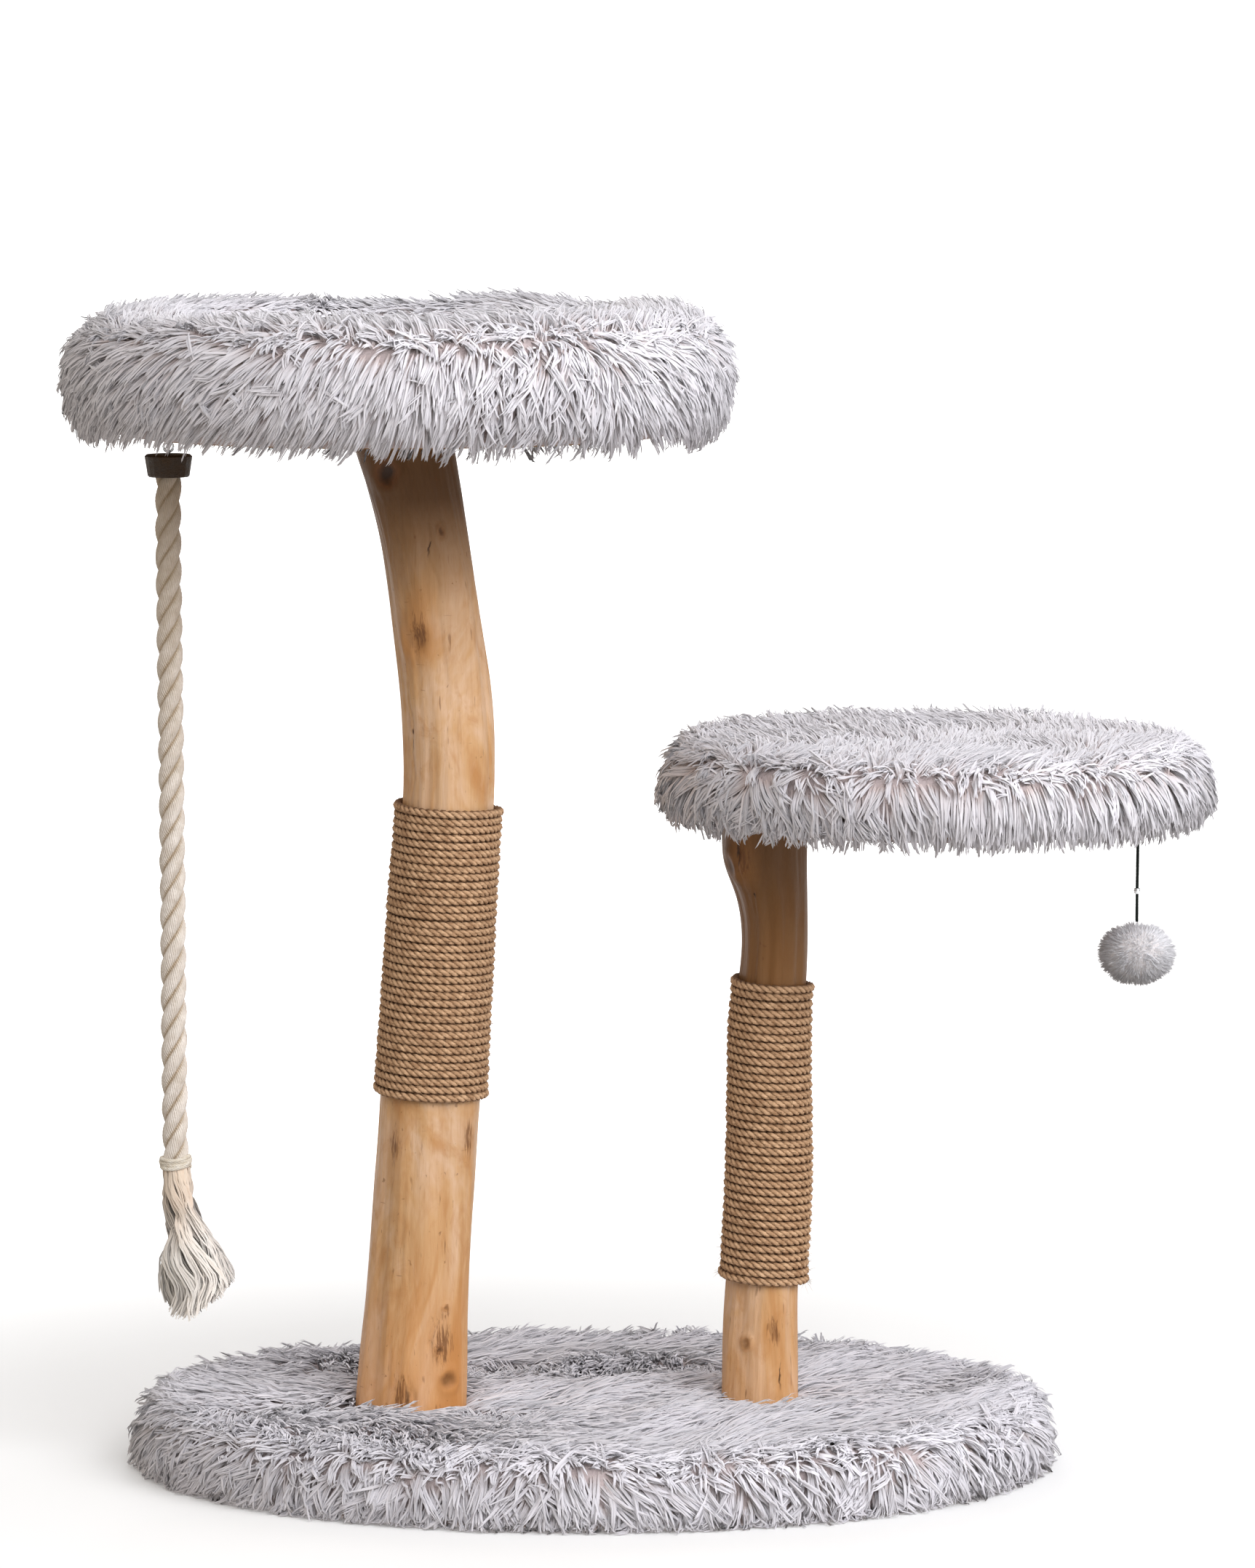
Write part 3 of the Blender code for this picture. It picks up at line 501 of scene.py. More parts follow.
def fibre_material(name, dark, light, scale, roughness=0.85, tint=None, groove_shade=None):
    """Twisted fibre: mottled between two colours, fine fibres in its bump. tint is (low, high, colour,
    strength) and darkens it with height, as painted shade; the groove colour is painted in as shade down
    in the grooves, where the first mesh coordinate is low."""
    nodes = Nodes(name, roughness)
    mottle = nodes.noise(nodes.place_of(), scale, 4.0, 0.6)
    fine = nodes.noise(nodes.place_of(), scale * 9, 3.0, 0.6)
    shade = nodes.ramp(mottle, [(0.32, dark), (0.68, light)])
    shade = nodes.mix(nodes.grey_ramp(fine, 0.35, 0.75, 0.0, 0.40), shade, dark)
    # Painted shade: darker with height.
    if tint:
        low, high, colour, strength = tint
        height = nodes.add("ShaderNodeSeparateXYZ", {"Vector": nodes.place_of()}).outputs["Z"]
        shade = nodes.mix(nodes.spread(height, low, high, 0.0, strength), shade, colour)
    # Painted shade: the groove colour where a point is least raised, down in the grooves.
    if groove_shade:
        where = nodes.add("ShaderNodeUVMap", uv_map="OFBake").outputs["UV"]
        raised = nodes.add("ShaderNodeSeparateXYZ", {"Vector": where}).outputs["X"]
        shade = nodes.mix(nodes.spread(raised, 0.35, 0.82, 0.85, 0.0), shade, groove_shade)
    nodes.colour(shade)
    nodes.bump(fine, 0.0004)
    nodes.shader.inputs["Specular IOR Level"].default_value = 0.2
    return nodes.material


def plywood_material():
    nodes = Nodes("plywood", 0.7)
    grain = nodes.noise(nodes.place_of((0.06, 1, 1)), 160.0, 5.0, 0.6, 0.3)
    plies = nodes.add("ShaderNodeTexWave", {"Vector": nodes.place_of(), "Scale": 95.0}, bands_direction="Z")
    glue = nodes.grey_ramp(plies.outputs["Fac"], 0.4, 0.6, 0.0, 0.25)
    face = nodes.ramp(grain, [(0.35, srgb(0.66, 0.51, 0.33)), (0.7, srgb(0.80, 0.67, 0.48))])
    nodes.colour(nodes.mix(glue, face, srgb(0.5, 0.36, 0.2)))
    nodes.bump(grain, 0.0004)
    return nodes.material


def steel_material():
    nodes = Nodes("zinc_steel", 0.35, 1.0)
    brushed = nodes.noise(nodes.place_of((1, 1, 6)), 500.0, 3.0, 0.6)
    nodes.colour(nodes.ramp(brushed, [(0.3, (0.52, 0.53, 0.54)), (0.7, (0.70, 0.71, 0.72))]))
    nodes.roughness(nodes.grey_ramp(brushed, 0.3, 0.7, 0.28, 0.45))
    return nodes.material


def felt_material():
    nodes = Nodes("black_felt", 0.95)
    fibres = nodes.noise(nodes.place_of(), 900.0, 4.0, 0.7)
    nodes.colour(nodes.ramp(fibres, [(0.3, (0.015, 0.015, 0.016)), (0.75, (0.06, 0.06, 0.062))]))
    nodes.bump(fibres, 0.0005)
    return nodes.material


def foam_material():
    nodes = Nodes("foam", 0.95)
    cells = nodes.cells(700.0)
    nodes.colour(nodes.ramp(cells, [(0.1, srgb(0.88, 0.85, 0.72)), (0.6, srgb(0.96, 0.94, 0.86))]))
    nodes.bump(cells, 0.0006)
    return nodes.material


def leather_material():
    """Dark brown leather of the rope's end cap: fine creases, worn paler along the way."""
    nodes = Nodes("brown_leather", 0.5)
    nodes.shader.inputs["Specular IOR Level"].default_value = 0.2
    creases = nodes.cells(900.0)
    wear = nodes.noise(nodes.place_of(), 160.0, 4.0, 0.6)
    shade = nodes.ramp(wear, [(0.3, srgb(0.18, 0.125, 0.07)), (0.75, srgb(0.25, 0.18, 0.10))])
    nodes.colour(nodes.mix(nodes.grey_ramp(creases, 0.0, 0.35, 0.5, 0.0), shade, srgb(0.15, 0.10, 0.05)))
    nodes.roughness(nodes.grey_ramp(wear, 0.3, 0.7, 0.45, 0.65))
    nodes.bump(creases, 0.0003)
    return nodes.material


# ---------------------------------------------------------------- stage


def add_light(name, place_at, target, size, power, colour=(1, 1, 1)):
    data = bpy.data.lights.new(name, "AREA")
    data.shape = "DISK"
    data.size = size
    data.energy = power
    data.color = colour
    light = bpy.data.objects.new(name, data)
    light.location = place_at
    light.rotation_euler = (Vector(target) - Vector(place_at)).to_track_quat("-Z", "Y").to_euler()
    bpy.context.scene.collection.objects.link(light)


def ring_surface(name, profile, material):
    """A stage surface turned from a profile of (distance, height)."""
    turns = np.linspace(0, 2 * math.pi, 96, endpoint=False)
    bm = bmesh.new()
    loops = [[bm.verts.new((r * math.cos(t), r * math.sin(t), z)) for t in turns] for r, z in profile]
    for low, high in zip(loops, loops[1:]):
        for i in range(len(turns)):
            j = (i + 1) % len(turns)
            bm.faces.new((low[i], low[j], high[j], high[i]))
    if profile[0][0] < 1:
        bm.faces.new(loops[0])
    bmesh.ops.recalc_face_normals(bm, faces=bm.faces)
    mesh = bpy.data.meshes.new(name)
    bm.to_mesh(mesh)
    bm.free()
    mesh.shade_smooth()
    mesh.materials.append(material)
    surface = bpy.data.objects.new(name, mesh)
    bpy.context.scene.collection.objects.link(surface)
    return surface


def glowing(name, strength):
    nodes = Nodes(name, 1.0)
    nodes.shader.inputs["Base Color"].default_value = (0.87, 0.87, 0.87, 1.0)
    nodes.shader.inputs["Specular IOR Level"].default_value = 0.0
    nodes.shader.inputs["Emission Color"].default_value = (1.0, 1.0, 1.0, 1.0)
    nodes.shader.inputs["Emission Strength"].default_value = strength
    return nodes


def build_world():
    """Soft light from all round: most from above, cool on the right, dim and warm on the left and below."""
    world = bpy.data.worlds.new("studio")
    world.use_nodes = True
    tree = world.node_tree
    split = tree.nodes.new("ShaderNodeSeparateXYZ")
    tree.links.new(tree.nodes.new("ShaderNodeTexCoord").outputs["Generated"], split.inputs["Vector"])
    product = tree.nodes.new("ShaderNodeVectorMath")
    product.operation = "MULTIPLY"
    sides = [(0.0, (0.72, 0.65, 0.56)), (0.45, (0.80, 0.79, 0.77)), (1.0, (1.0, 1.0, 1.02))]
    heights = [(0.0, (0.42, 0.385, 0.355)), (0.48, (0.62, 0.61, 0.60)), (1.0, (0.85, 0.85, 0.86))]
    for slot, (axis, stops) in enumerate((("X", sides), ("Z", heights))):
        half = tree.nodes.new("ShaderNodeMapRange")
        half.inputs["From Min"].default_value = -1.0
        tree.links.new(split.outputs[axis], half.inputs["Value"])
        ramp = tree.nodes.new("ShaderNodeValToRGB")
        tree.links.new(half.outputs["Result"], ramp.inputs["Fac"])
        fill_ramp(ramp, stops)
        tree.links.new(ramp.outputs["Color"], product.inputs[slot])
    tree.links.new(product.outputs["Vector"], tree.nodes["Background"].inputs["Color"])
    bpy.context.scene.world = world


def build_stage():
    """A pale floor that glows more and more away from the cat tree, a white wall all round that lights
    nothing, soft lights, and the camera."""
    floor_reach, wall_height = 9.0, 9.0
    ground = glowing("studio_floor", 0.0)
    far = ground.add("ShaderNodeVectorMath", {0: ground.place_of()}, operation="LENGTH").outputs["Value"]
    inputs = {"Value": far, "From Min": 0.46, "From Max": 1.5, "To Min": 0.10, "To Max": 0.80}
    glow = ground.add("ShaderNodeMapRange", inputs, interpolation_type="SMOOTHSTEP").outputs["Result"]
    ground.tree.links.new(glow, ground.shader.inputs["Emission Strength"])
    floor = ring_surface(
        "studio_floor", [(0.01, 0.0), (0.6, 0.0), (2.5, 0.0), (floor_reach, 0.0)], ground.material
    )
    floor.visible_diffuse = False
    wall = ring_surface(
        "studio_wall",
        [(floor_reach, -0.01), (floor_reach, wall_height), (1.5, wall_height + 2)],
        glowing("studio_wall", 1.2).material,
    )
    for kind in ("diffuse", "glossy", "transmission", "shadow"):
        setattr(wall, f"visible_{kind}", False)

    build_world()
    middle = (0.0, 0.0, 0.45)
    cool = (0.97, 0.98, 1.0)
    add_light("key", (3.0, -2.6, 2.7), middle, 3.2, 115.0, cool)
    add_light("front", (0.9, -4.3, 3.0), middle, 3.0, 95.0, cool)
    add_light("back", (-0.8, 4.4, 2.6), middle, 3.0, 42.0, cool)

    data = bpy.data.cameras.new("camera")
    data.lens = CAMERA_LENS_MM
    data.clip_end = 60.0
    camera = bpy.data.objects.new("camera", data)
    camera.location = CAMERA_PLACE
    camera.rotation_euler = (math.radians(90 - CAMERA_PITCH_DEG), 0, 0)
    bpy.context.scene.collection.objects.link(camera)
    bpy.context.scene.camera = camera
    bpy.context.scene.view_settings.view_transform = "Standard"


# ---------------------------------------------------------------- ropes


def frames_along(path):
    """Two steady normals along one path of points."""
    tangents = unit(np.gradient(path, axis=0))
    first = np.empty_like(path)
    across = np.array([1.0, 0.0, 0.0])
    for k, tangent in enumerate(tangents):
        across = unit(across - (across @ tangent) * tangent)
        first[k] = across
    return first, np.cross(tangents, first)


def twisted(path, distance, lay, count, phase=0.0):
    """Paths of count strands laid round a path at a distance, one turn for each lay of length."""
    first, second = frames_along(path)
    along = np.concatenate([[0], np.cumsum(np.linalg.norm(np.diff(path, axis=0), axis=1))])
    strands = []
    for i in range(count):
        turn = (2 * math.pi * (along / lay + i / count) + phase)[:, None]
        strands.append(path + distance * (np.cos(turn) * first + np.sin(turn) * second))
    return np.array(strands)


def rope_line(route, spacing):
    """The route as evenly spaced points on a smooth curve through its own points."""
    points = np.array(route)
    along = np.concatenate([[0], np.cumsum(np.linalg.norm(np.diff(points, axis=0), axis=1))])
    count = round(along[-1] / spacing) + 1
    return through(np.column_stack([along, points]), np.linspace(0, along[-1], count))


def hair_piece(name, starts, directions, reach, radius, material, seed):
    """Short loose fibres that leave the starts along the directions and droop a little."""
    rng = np.random.default_rng(seed)
    count = len(starts)
    steps = np.linspace(0, 1, 4)[None, :, None]
    bend = rng.normal(0, 0.5, (count, 1, 3)) - 0.25 * UP
    paths = starts[:, None] + reach[:, None, None] * steps * (directions[:, None] + bend * steps)
    radii = np.full(paths.shape[:2], radius)
    return tube_piece(name, paths, radii, 3, material, seed=seed, pointed=True)


def raised_coordinates(raised, shares):
    """Mesh coordinates for a material that paints shade into its grooves: how far raised each point is,
    and its share.
    """
    return np.stack([0.02 + 0.96 * np.clip(raised, 0, 1), 0.02 + 0.96 * shares], axis=1)


def build_play_rope(materials):
    """Three soft strands of cotton yarns, the strands laid one way and their yarns the other."""
    strand_distance, strand_lay = 0.0046, 0.063
    yarn_distance, yarn_radius, yarn_lay, yarns = 0.0044, 0.00102, -0.038, 15
    line = rope_line(ROPE_ROUTE, 0.0022)
    strands = twisted(line, strand_distance, strand_lay, 3)
    paths = np.concatenate([twisted(strand, yarn_distance, yarn_lay, yarns) for strand in strands])
    radii = np.full(paths.shape[:2], yarn_radius)
    points, triangles, shares = tube_arrays(paths, radii, 5, seed=11)
    middle = [np.interp(points[:, 2], line[::-1, 2], line[::-1, k]) for k in range(2)]
    far = np.hypot(points[:, 0] - middle[0], points[:, 1] - middle[1])
    # Little raised points lie in the grooves, where the rope's material paints shade.
    coordinates = raised_coordinates(smoothstep(0.50, 0.92, far / ROPE_RADIUS), shares)
    rope = triangle_mesh("play_rope_laid", points, triangles, materials["rope"], coordinates)
    place(rope, "play_rope", "rope", "play_rope")

    rng = np.random.default_rng(12)
    count = 900
    roots = line[rng.integers(4, len(line) - 4, count)]
    turn = rng.uniform(0, 2 * math.pi, count)
    outward = np.stack([np.cos(turn), np.sin(turn), rng.normal(0, 0.8, count)], axis=1)
    starts = roots + outward * [0.95 * ROPE_RADIUS, 0.95 * ROPE_RADIUS, 0]
    reach = rng.uniform(0.0010, 0.0032, count)
    fuzz = hair_piece("play_rope_fibres", starts, outward, reach, 0.00008, materials["twine"], 13)
    place(fuzz, "play_rope", "rope")

    whipping = build_whipping(materials)
    tassel = build_tassel(materials)


def build_whipping(materials):
    """A few tight turns of soft cotton twine round the rope's lower end."""
    low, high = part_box("rope_whipping")
    centre = (low + high) / 2
    turns, twine = 4.0, 0.00165
    angle = np.linspace(0, 2 * math.pi * turns, 200)
    height = np.linspace(low.z + twine, high.z - twine, len(angle))
    height = height + 0.0007 * np.sin(angle + 0.7) + 0.0004 * np.sin(2.6 * angle)
    distance = ROPE_RADIUS + 0.0007 + 0.0004 * np.sin(1.7 * angle)
    path = np.stack(
        [centre.x + distance * np.cos(angle), centre.y + distance * np.sin(angle), height], axis=1
    )
    plies = twisted(path, twine * 0.62, 0.0135, 6)
    radii = np.full(plies.shape[:2], twine * 0.44)
    whipping = tube_piece("rope_whipping_twine", plies, radii, 5, materials["twine"], seed=21)
    return place(whipping, "play_rope", "rope", "rope_whipping")


def build_tassel(materials):
    """The rope's own yarns below the whipping. They keep the wave of the lay, spread out, and end in a
    slanted cut that is lowest on the left."""
    rng = np.random.default_rng(31)
    count, points = 560, 24
    low, high = TASSEL_STATIONS[0][0], TASSEL_STATIONS[-1][0]
    turn = rng.uniform(0, 2 * math.pi, count)
    share = np.sqrt(rng.uniform(0.0, 1.0, count))
    end_x = through(TASSEL_STATIONS, np.full(count, 0.130))
    end_x = end_x[:, 0] + share * end_x[:, 2] * np.cos(turn)
    right, left = np.clip(end_x + 0.300, 0, None), np.clip(-0.319 - end_x, 0, None)
    ends = low + 0.78 * right + 0.9 * left + np.abs(rng.normal(0, 0.0030, count))
    steps = np.linspace(0, 1, points)
    height = high + (ends[:, None] - high) * steps
    values = through(TASSEL_STATIONS, height)
    fallen = (high - height) / (high - low)

    # Yarns of one strand wave together, each a little out of step with the next.
    strand = np.floor(turn / (2 * math.pi) * 7)
    phase = strand * 2 * math.pi / 3 + rng.normal(0, 0.30, count)
    wave = 2 * math.pi * (high - height) / 0.058 + phase[:, None]
    swing = 0.0042 * smoothstep(0.02, 0.30, fallen) * rng.uniform(0.75, 1.15, (count, 1))
    spread = share[:, None] * values[..., 2]
    x = values[..., 0] + (spread - 0.5 * swing) * np.cos(turn)[:, None] + swing * np.cos(wave)
    y = values[..., 1] + (spread - 0.5 * swing) * np.sin(turn)[:, None] + swing * np.sin(wave)
    frizz = 0.0005 * np.sin(rng.uniform(30, 60, (count, 1)) * fallen + rng.uniform(0, 6, (count, 1)))
    paths = np.stack([x + frizz, y, height], axis=-1)
    radii = np.broadcast_to(rng.uniform(0.00045, 0.00080, (count, 1)), (count, points)).copy()
    radii[:, -1] *= 0.5
    tones = 0.5 + 0.18 * np.sin(strand * 2.4) + rng.normal(0, 0.16, count)
    outward = np.stack([np.cos(turn), np.sin(turn), 0 * turn], axis=1)
    facing = np.repeat(outward[:, None], points, axis=1)
    tassel = tube_piece("rope_tassel_yarns", paths, radii, 4, materials["tassel"], tones, facing, seed=32)
    return place(tassel, "play_rope", "rope", "rope_tassel")


def build_winding(name, stations, limits, materials, points_per_turn, seed):
    """Jute rope wound in touching turns: three ridged strands laid round a helix that follows the trunk."""
    turns, lay, tilt = 37.0, 0.0172, -0.030
    strand_distance, strand_radius = JUTE_RADIUS * 0.56, JUTE_RADIUS * 0.53
    low, high = limits[0] + JUTE_RADIUS, limits[1] - JUTE_RADIUS
    count = int(turns * points_per_turn)
    share = np.linspace(0, 1, count)
    angle = -2 * math.pi * turns * share + 0.8
    height = low + (high - low) * share
    slack = 0.0003 * wave_noise(np.stack([share * 37, 0 * share, 0 * share], axis=1), 1.6, seed)
    from_end = turns * np.minimum(share, 1 - share)
    ends = 0.0009 * smoothstep(1.6, 0.8, from_end)
    path = trunk_surface(stations, height, angle, JUTE_RADIUS * 0.95 + slack + ends)
    centre = through(stations, height)
    path[:, 2] += tilt * (path[:, 0] - centre[:, 0]) + 0.8 * slack
    outward = unit(np.stack([path[:, 0] - centre[:, 0], path[:, 1] - centre[:, 1], 0 * height], axis=1))
    for number, strand in enumerate(twisted(path, strand_distance, lay, 3), start=1):
        radii = np.full((1, count), strand_radius)
        points, triangles, shares = tube_arrays(
            strand[None], radii, 8, ridge=0.12, lay=-0.022, seed=seed + number
        )
        ring = np.rint(shares * (count - 1)).astype(int)
        # Little raised points lie in the grooves, where the jute's material paints shade.
        raised = ((points - path[ring]) * outward[ring]).sum(-1) / JUTE_RADIUS
        coordinates = raised_coordinates(raised, shares)
        winding = triangle_mesh(f"{name}_jute_{number}", points, triangles, materials["jute"], coordinates)
        if number == 1:
            place(winding, "root", "jute", f"{name}_wrap")
        else:
            place(winding, "root", "jute")

    rng = np.random.default_rng(seed)
    hairs = 3000
    at = rng.integers(0, count - 1, hairs)
    along = unit(path[at + 1] - path[at])
    sideways, upwards = rng.normal(0, 0.9, (hairs, 1)), rng.normal(0, 0.4, (hairs, 1))
    leaning = 0.35 * outward[at] + sideways * along + upwards * UP
    starts = path[at] + outward[at] * JUTE_RADIUS * 0.85
    reach = rng.uniform(0.0020, 0.0065, hairs)
    fibres = hair_piece(f"{name}_jute_fibres", starts, leaning, reach, 0.00009, materials["jute"], seed + 9)
    place(fibres, "root", "jute")


# ---------------------------------------------------------------- trunks

# Knots as (height, angle in degrees from +X, size, how dark); -90 faces the front.
TALL_KNOTS = [
    (0.757, -117, 0.0110, 0.95),
    (0.634, -119, 0.0120, 0.15),
    (0.715, -64, 0.0035, 0.50),
    (0.074, -50, 0.0070, 0.40),
    (0.096, -62, 0.0030, 0.45),
    (0.128, -57, 0.0024, 0.35),
    (0.205, 95, 0.0100, 0.80),
    (0.600, 60, 0.0090, 0.70),
]
SHORT_KNOTS = [
    (0.462, -148, 0.0090, 0.45),
    (0.100, -115, 0.0040, 0.35),
    (0.090, 70, 0.0080, 0.80),
    (0.415, 100, 0.0070, 0.65),
]
# Drying cracks as (height, angle in degrees, width, length).
TALL_CRACKS = [
    (0.112, -71, 0.0013, 0.016),
    (0.050, -92, 0.0026, 0.020),
    (0.705, -84, 0.0009, 0.040),
    (0.560, -140, 0.0012, 0.050),
    (0.160, 60, 0.0020, 0.050),
]
SHORT_CRACKS = [
    (0.470, -128, 0.0018, 0.016),
    (0.440, -118, 0.0010, 0.016),
    (0.075, -60, 0.0012, 0.028),
    (0.440, 40, 0.0016, 0.030),
]
# Where dark scratches gather, as (height, angle in degrees, reach).
TALL_SMUDGES = [
    (0.105, -60, 0.020),
    (0.250, -130, 0.016),
    (0.062, -100, 0.016),
    (0.640, -112, 0.018),
    (0.255, -35, 0.016),
]
SHORT_SMUDGES = [
    (0.470, -120, 0.016),
    (0.110, -70, 0.014),
]
# Tints along the height as (from, to, colour, strength): warmer at the foot, and darker towards the
# top, partly stain and partly painted shade under the pad that the trunk holds up.
TALL_STAIN_AND_SHADE_BANDS = [
    (0.17, 0.05, srgb(0.80, 0.54, 0.30), 0.45),
    (0.58, 0.69, srgb(0.60, 0.44, 0.28), 0.55),
    (0.66, 0.74, srgb(0.36, 0.24, 0.12), 0.94),
]
SHORT_STAIN_AND_SHADE_BANDS = [
    (0.16, 0.05, srgb(0.80, 0.56, 0.33), 0.35),
    (0.28, 0.37, srgb(0.46, 0.31, 0.16), 0.93),
    (0.40, 0.49, srgb(0.36, 0.24, 0.12), 0.60),
]


def on_trunk(stations, height, angle_deg):
    return trunk_surface(stations, np.array(height), np.array(math.radians(angle_deg)))


def build_trunk(name, stations, knots, cracks, smudges, bands, sides, seed):
    """The CAD trunk's form carved finer: broad facets, flutes, knots with raised lips, cracks, sawn ends."""
    low, high = stations[0][0], stations[-1][0]
    heights = np.linspace(low, high, int((high - low) / 0.0026))
    turns = np.linspace(0, 2 * math.pi, sides, endpoint=False)
    height, angle = np.meshgrid(heights, turns, indexing="ij")
    rng = np.random.default_rng(seed)
    relief = np.zeros_like(height)
    for size, lobes, stretch in ((0.00080, (3, 6), 14), (0.00040, (7, 14), 30), (0.00012, (20, 45), 60)):
        for _ in range(7):
            n = rng.integers(*lobes)
            phase = rng.uniform(-1, 1) * stretch * height + rng.uniform(0, 2 * math.pi)
            relief += size * 0.5 * np.cos(n * angle + phase)
    surface = trunk_surface(stations, height, angle)
    relief += 0.0009 * wave_noise(surface * [1, 1, 0.5], 0.045, seed)
    for z, degrees, size, _ in knots:
        centre = on_trunk(stations, z, degrees)
        far = np.linalg.norm((surface - centre) * [1, 1, 0.85], axis=-1) / size
        relief += 0.0015 * np.exp(-(((far - 1.0) / 0.45) ** 2)) - 0.0012 * np.exp(-((far / 0.55) ** 2))
    for z, degrees, width, length in cracks:
        wander = math.radians(degrees) + 0.06 * np.sin((height - z) * 160)
        across = (np.angle(np.exp(1j * (angle - wander)))) * through(stations, height)[..., 2]
        relief -= 1.1 * width * np.exp(-((across / width) ** 2) - ((height - z) / length) ** 4)
    relief *= smoothstep(0, 0.004, height - low) * smoothstep(0, 0.004, high - height)
    rings = trunk_surface(stations, height, angle, relief)
    marks = [(on_trunk(stations, z, degrees), size, dark) for z, degrees, size, dark in knots]
    splits = [(on_trunk(stations, z, degrees), width * 1.7) for z, degrees, width, _ in cracks]
    scuffs = [(on_trunk(stations, z, degrees), reach) for z, degrees, reach in smudges]
    material = trunk_material(f"{name}_wood", marks, splits, scuffs, bands)
    place(grid_solid(f"{name}_carved", rings, material), "root", "trunk", name)


# ---------------------------------------------------------------- fur


def rounded_profile(half_width, low, high, corner_low, corner_high, steps=7):
    """Half outline of a slab, from the middle of its underside round its edge to the middle of its top."""
    points = [(0.0, low)]
    corners = ((low + corner_low, corner_low, -90), (high - corner_high, corner_high, 0))
    for centre_height, radius, first in corners:
        for degrees in np.linspace(first, first + 90, steps):
            a = math.radians(degrees)
            points.append((half_width - radius + radius * math.cos(a), centre_height + radius * math.sin(a)))
    points.append((0.0, high))
    return np.array(points)


def densify(outline, spacing):
    """The outline with points about spacing apart."""
    along = np.concatenate([[0], np.cumsum(np.linalg.norm(np.diff(outline, axis=0), axis=1))])
    at = np.linspace(0, along[-1], max(3, round(along[-1] / spacing) + 1))
    return np.stack([np.interp(at, along, outline[:, k]) for k in range(2)], axis=1)


def slab_skin(name, centre, half_width, half_depth, outline, material, seed, lumps):
    """A closed oval pad from a half outline, its top slightly lumpy like stuffed cloth."""
    turns = np.linspace(0, 2 * math.pi, 144, endpoint=False)
    rings = []
    for reach, height in outline:
        if reach < 0.5 * half_width:
            share = max(reach / half_width, 0.02)
            a, b = half_width * share, half_depth * share
        else:
            a, b = reach, half_depth - (half_width - reach)
        ring = [centre[0] + a * np.cos(turns), centre[1] + b * np.sin(turns), 0 * turns + height]
        rings.append(np.stack(ring, axis=1))
    rings = np.array(rings)
    height = rings[..., 2]
    upper = smoothstep(height.min(), height.max(), height)
    height += lumps * wave_noise(rings, 0.09, seed) * upper
    return grid_solid(name, rings, material)


def skin_tree(obj):
    mesh = obj.data
    return BVHTree.FromPolygons([v.co for v in mesh.vertices], [tuple(p.vertices) for p in mesh.polygons])


def sample_roots(obj, spacing, fur, seed):
    """Root points spread over a skin about spacing apart, closer where the fur is denser, with normals."""
    mesh = obj.data
    corners = np.empty(3 * len(mesh.polygons), np.int32)
    mesh.loops.foreach_get("vertex_index", corners)
    places = np.empty(3 * len(mesh.vertices), np.float32)
    mesh.vertices.foreach_get("co", places)
    triangles = places.reshape(-1, 3)[corners.reshape(-1, 3)].astype(float)
    normals = np.cross(triangles[:, 1] - triangles[:, 0], triangles[:, 2] - triangles[:, 0])
    areas = np.linalg.norm(normals, axis=1) / 2
    normals = unit(normals)
    weights = areas * fur["density"](triangles.mean(axis=1), normals)
    rng = np.random.default_rng(seed)
    count = int(weights.sum() / spacing**2)
    chosen = rng.choice(len(areas), count, p=weights / weights.sum())
    u, v = rng.random((2, count, 1))
    u, v = np.where(u + v > 1, 1 - u, u), np.where(u + v > 1, 1 - v, v)
    corner = triangles[chosen]
    points = corner[:, 0] + u * (corner[:, 1] - corner[:, 0]) + v * (corner[:, 2] - corner[:, 0])
    return points, normals[chosen]


def settle_on_skin(points, tree, least, most):
    """Moves points so that each lies between least and most above the skin. Returns the skin's normals."""
    normals = np.empty_like(points)
    for i, point in enumerate(points):
        place_at, normal, _, _ = tree.find_nearest(point)
        height = (Vector(point) - place_at).dot(normal)
        slack = 0.006 * max(0.0, -normal.z)
        if height < least[i]:
            points[i] += np.array(normal) * (least[i] - height)
        elif height > most[i] + slack:
            points[i] -= np.array(normal) * (height - most[i] - slack) * 0.8
        normals[i] = normal
    return normals


def push_off_trunks(points, trunks, margin=0.0015):
    """Moves points sideways out of the trunks."""
    for stations in trunks:
        height = np.clip(points[:, 2], stations[0][0], stations[-1][0])
        values = through(stations, height)
        away = points[:, :2] - values[:, :2]
        distance = np.linalg.norm(away, axis=1)
        reach = values[:, 2] * 1.02 + margin
        inside = (distance < reach) & (points[:, 2] > stations[0][0]) & (points[:, 2] < stations[-1][0])
        outward = away[inside] / distance[inside, None]
        points[inside, :2] = values[inside, :2] + outward * reach[inside, None]


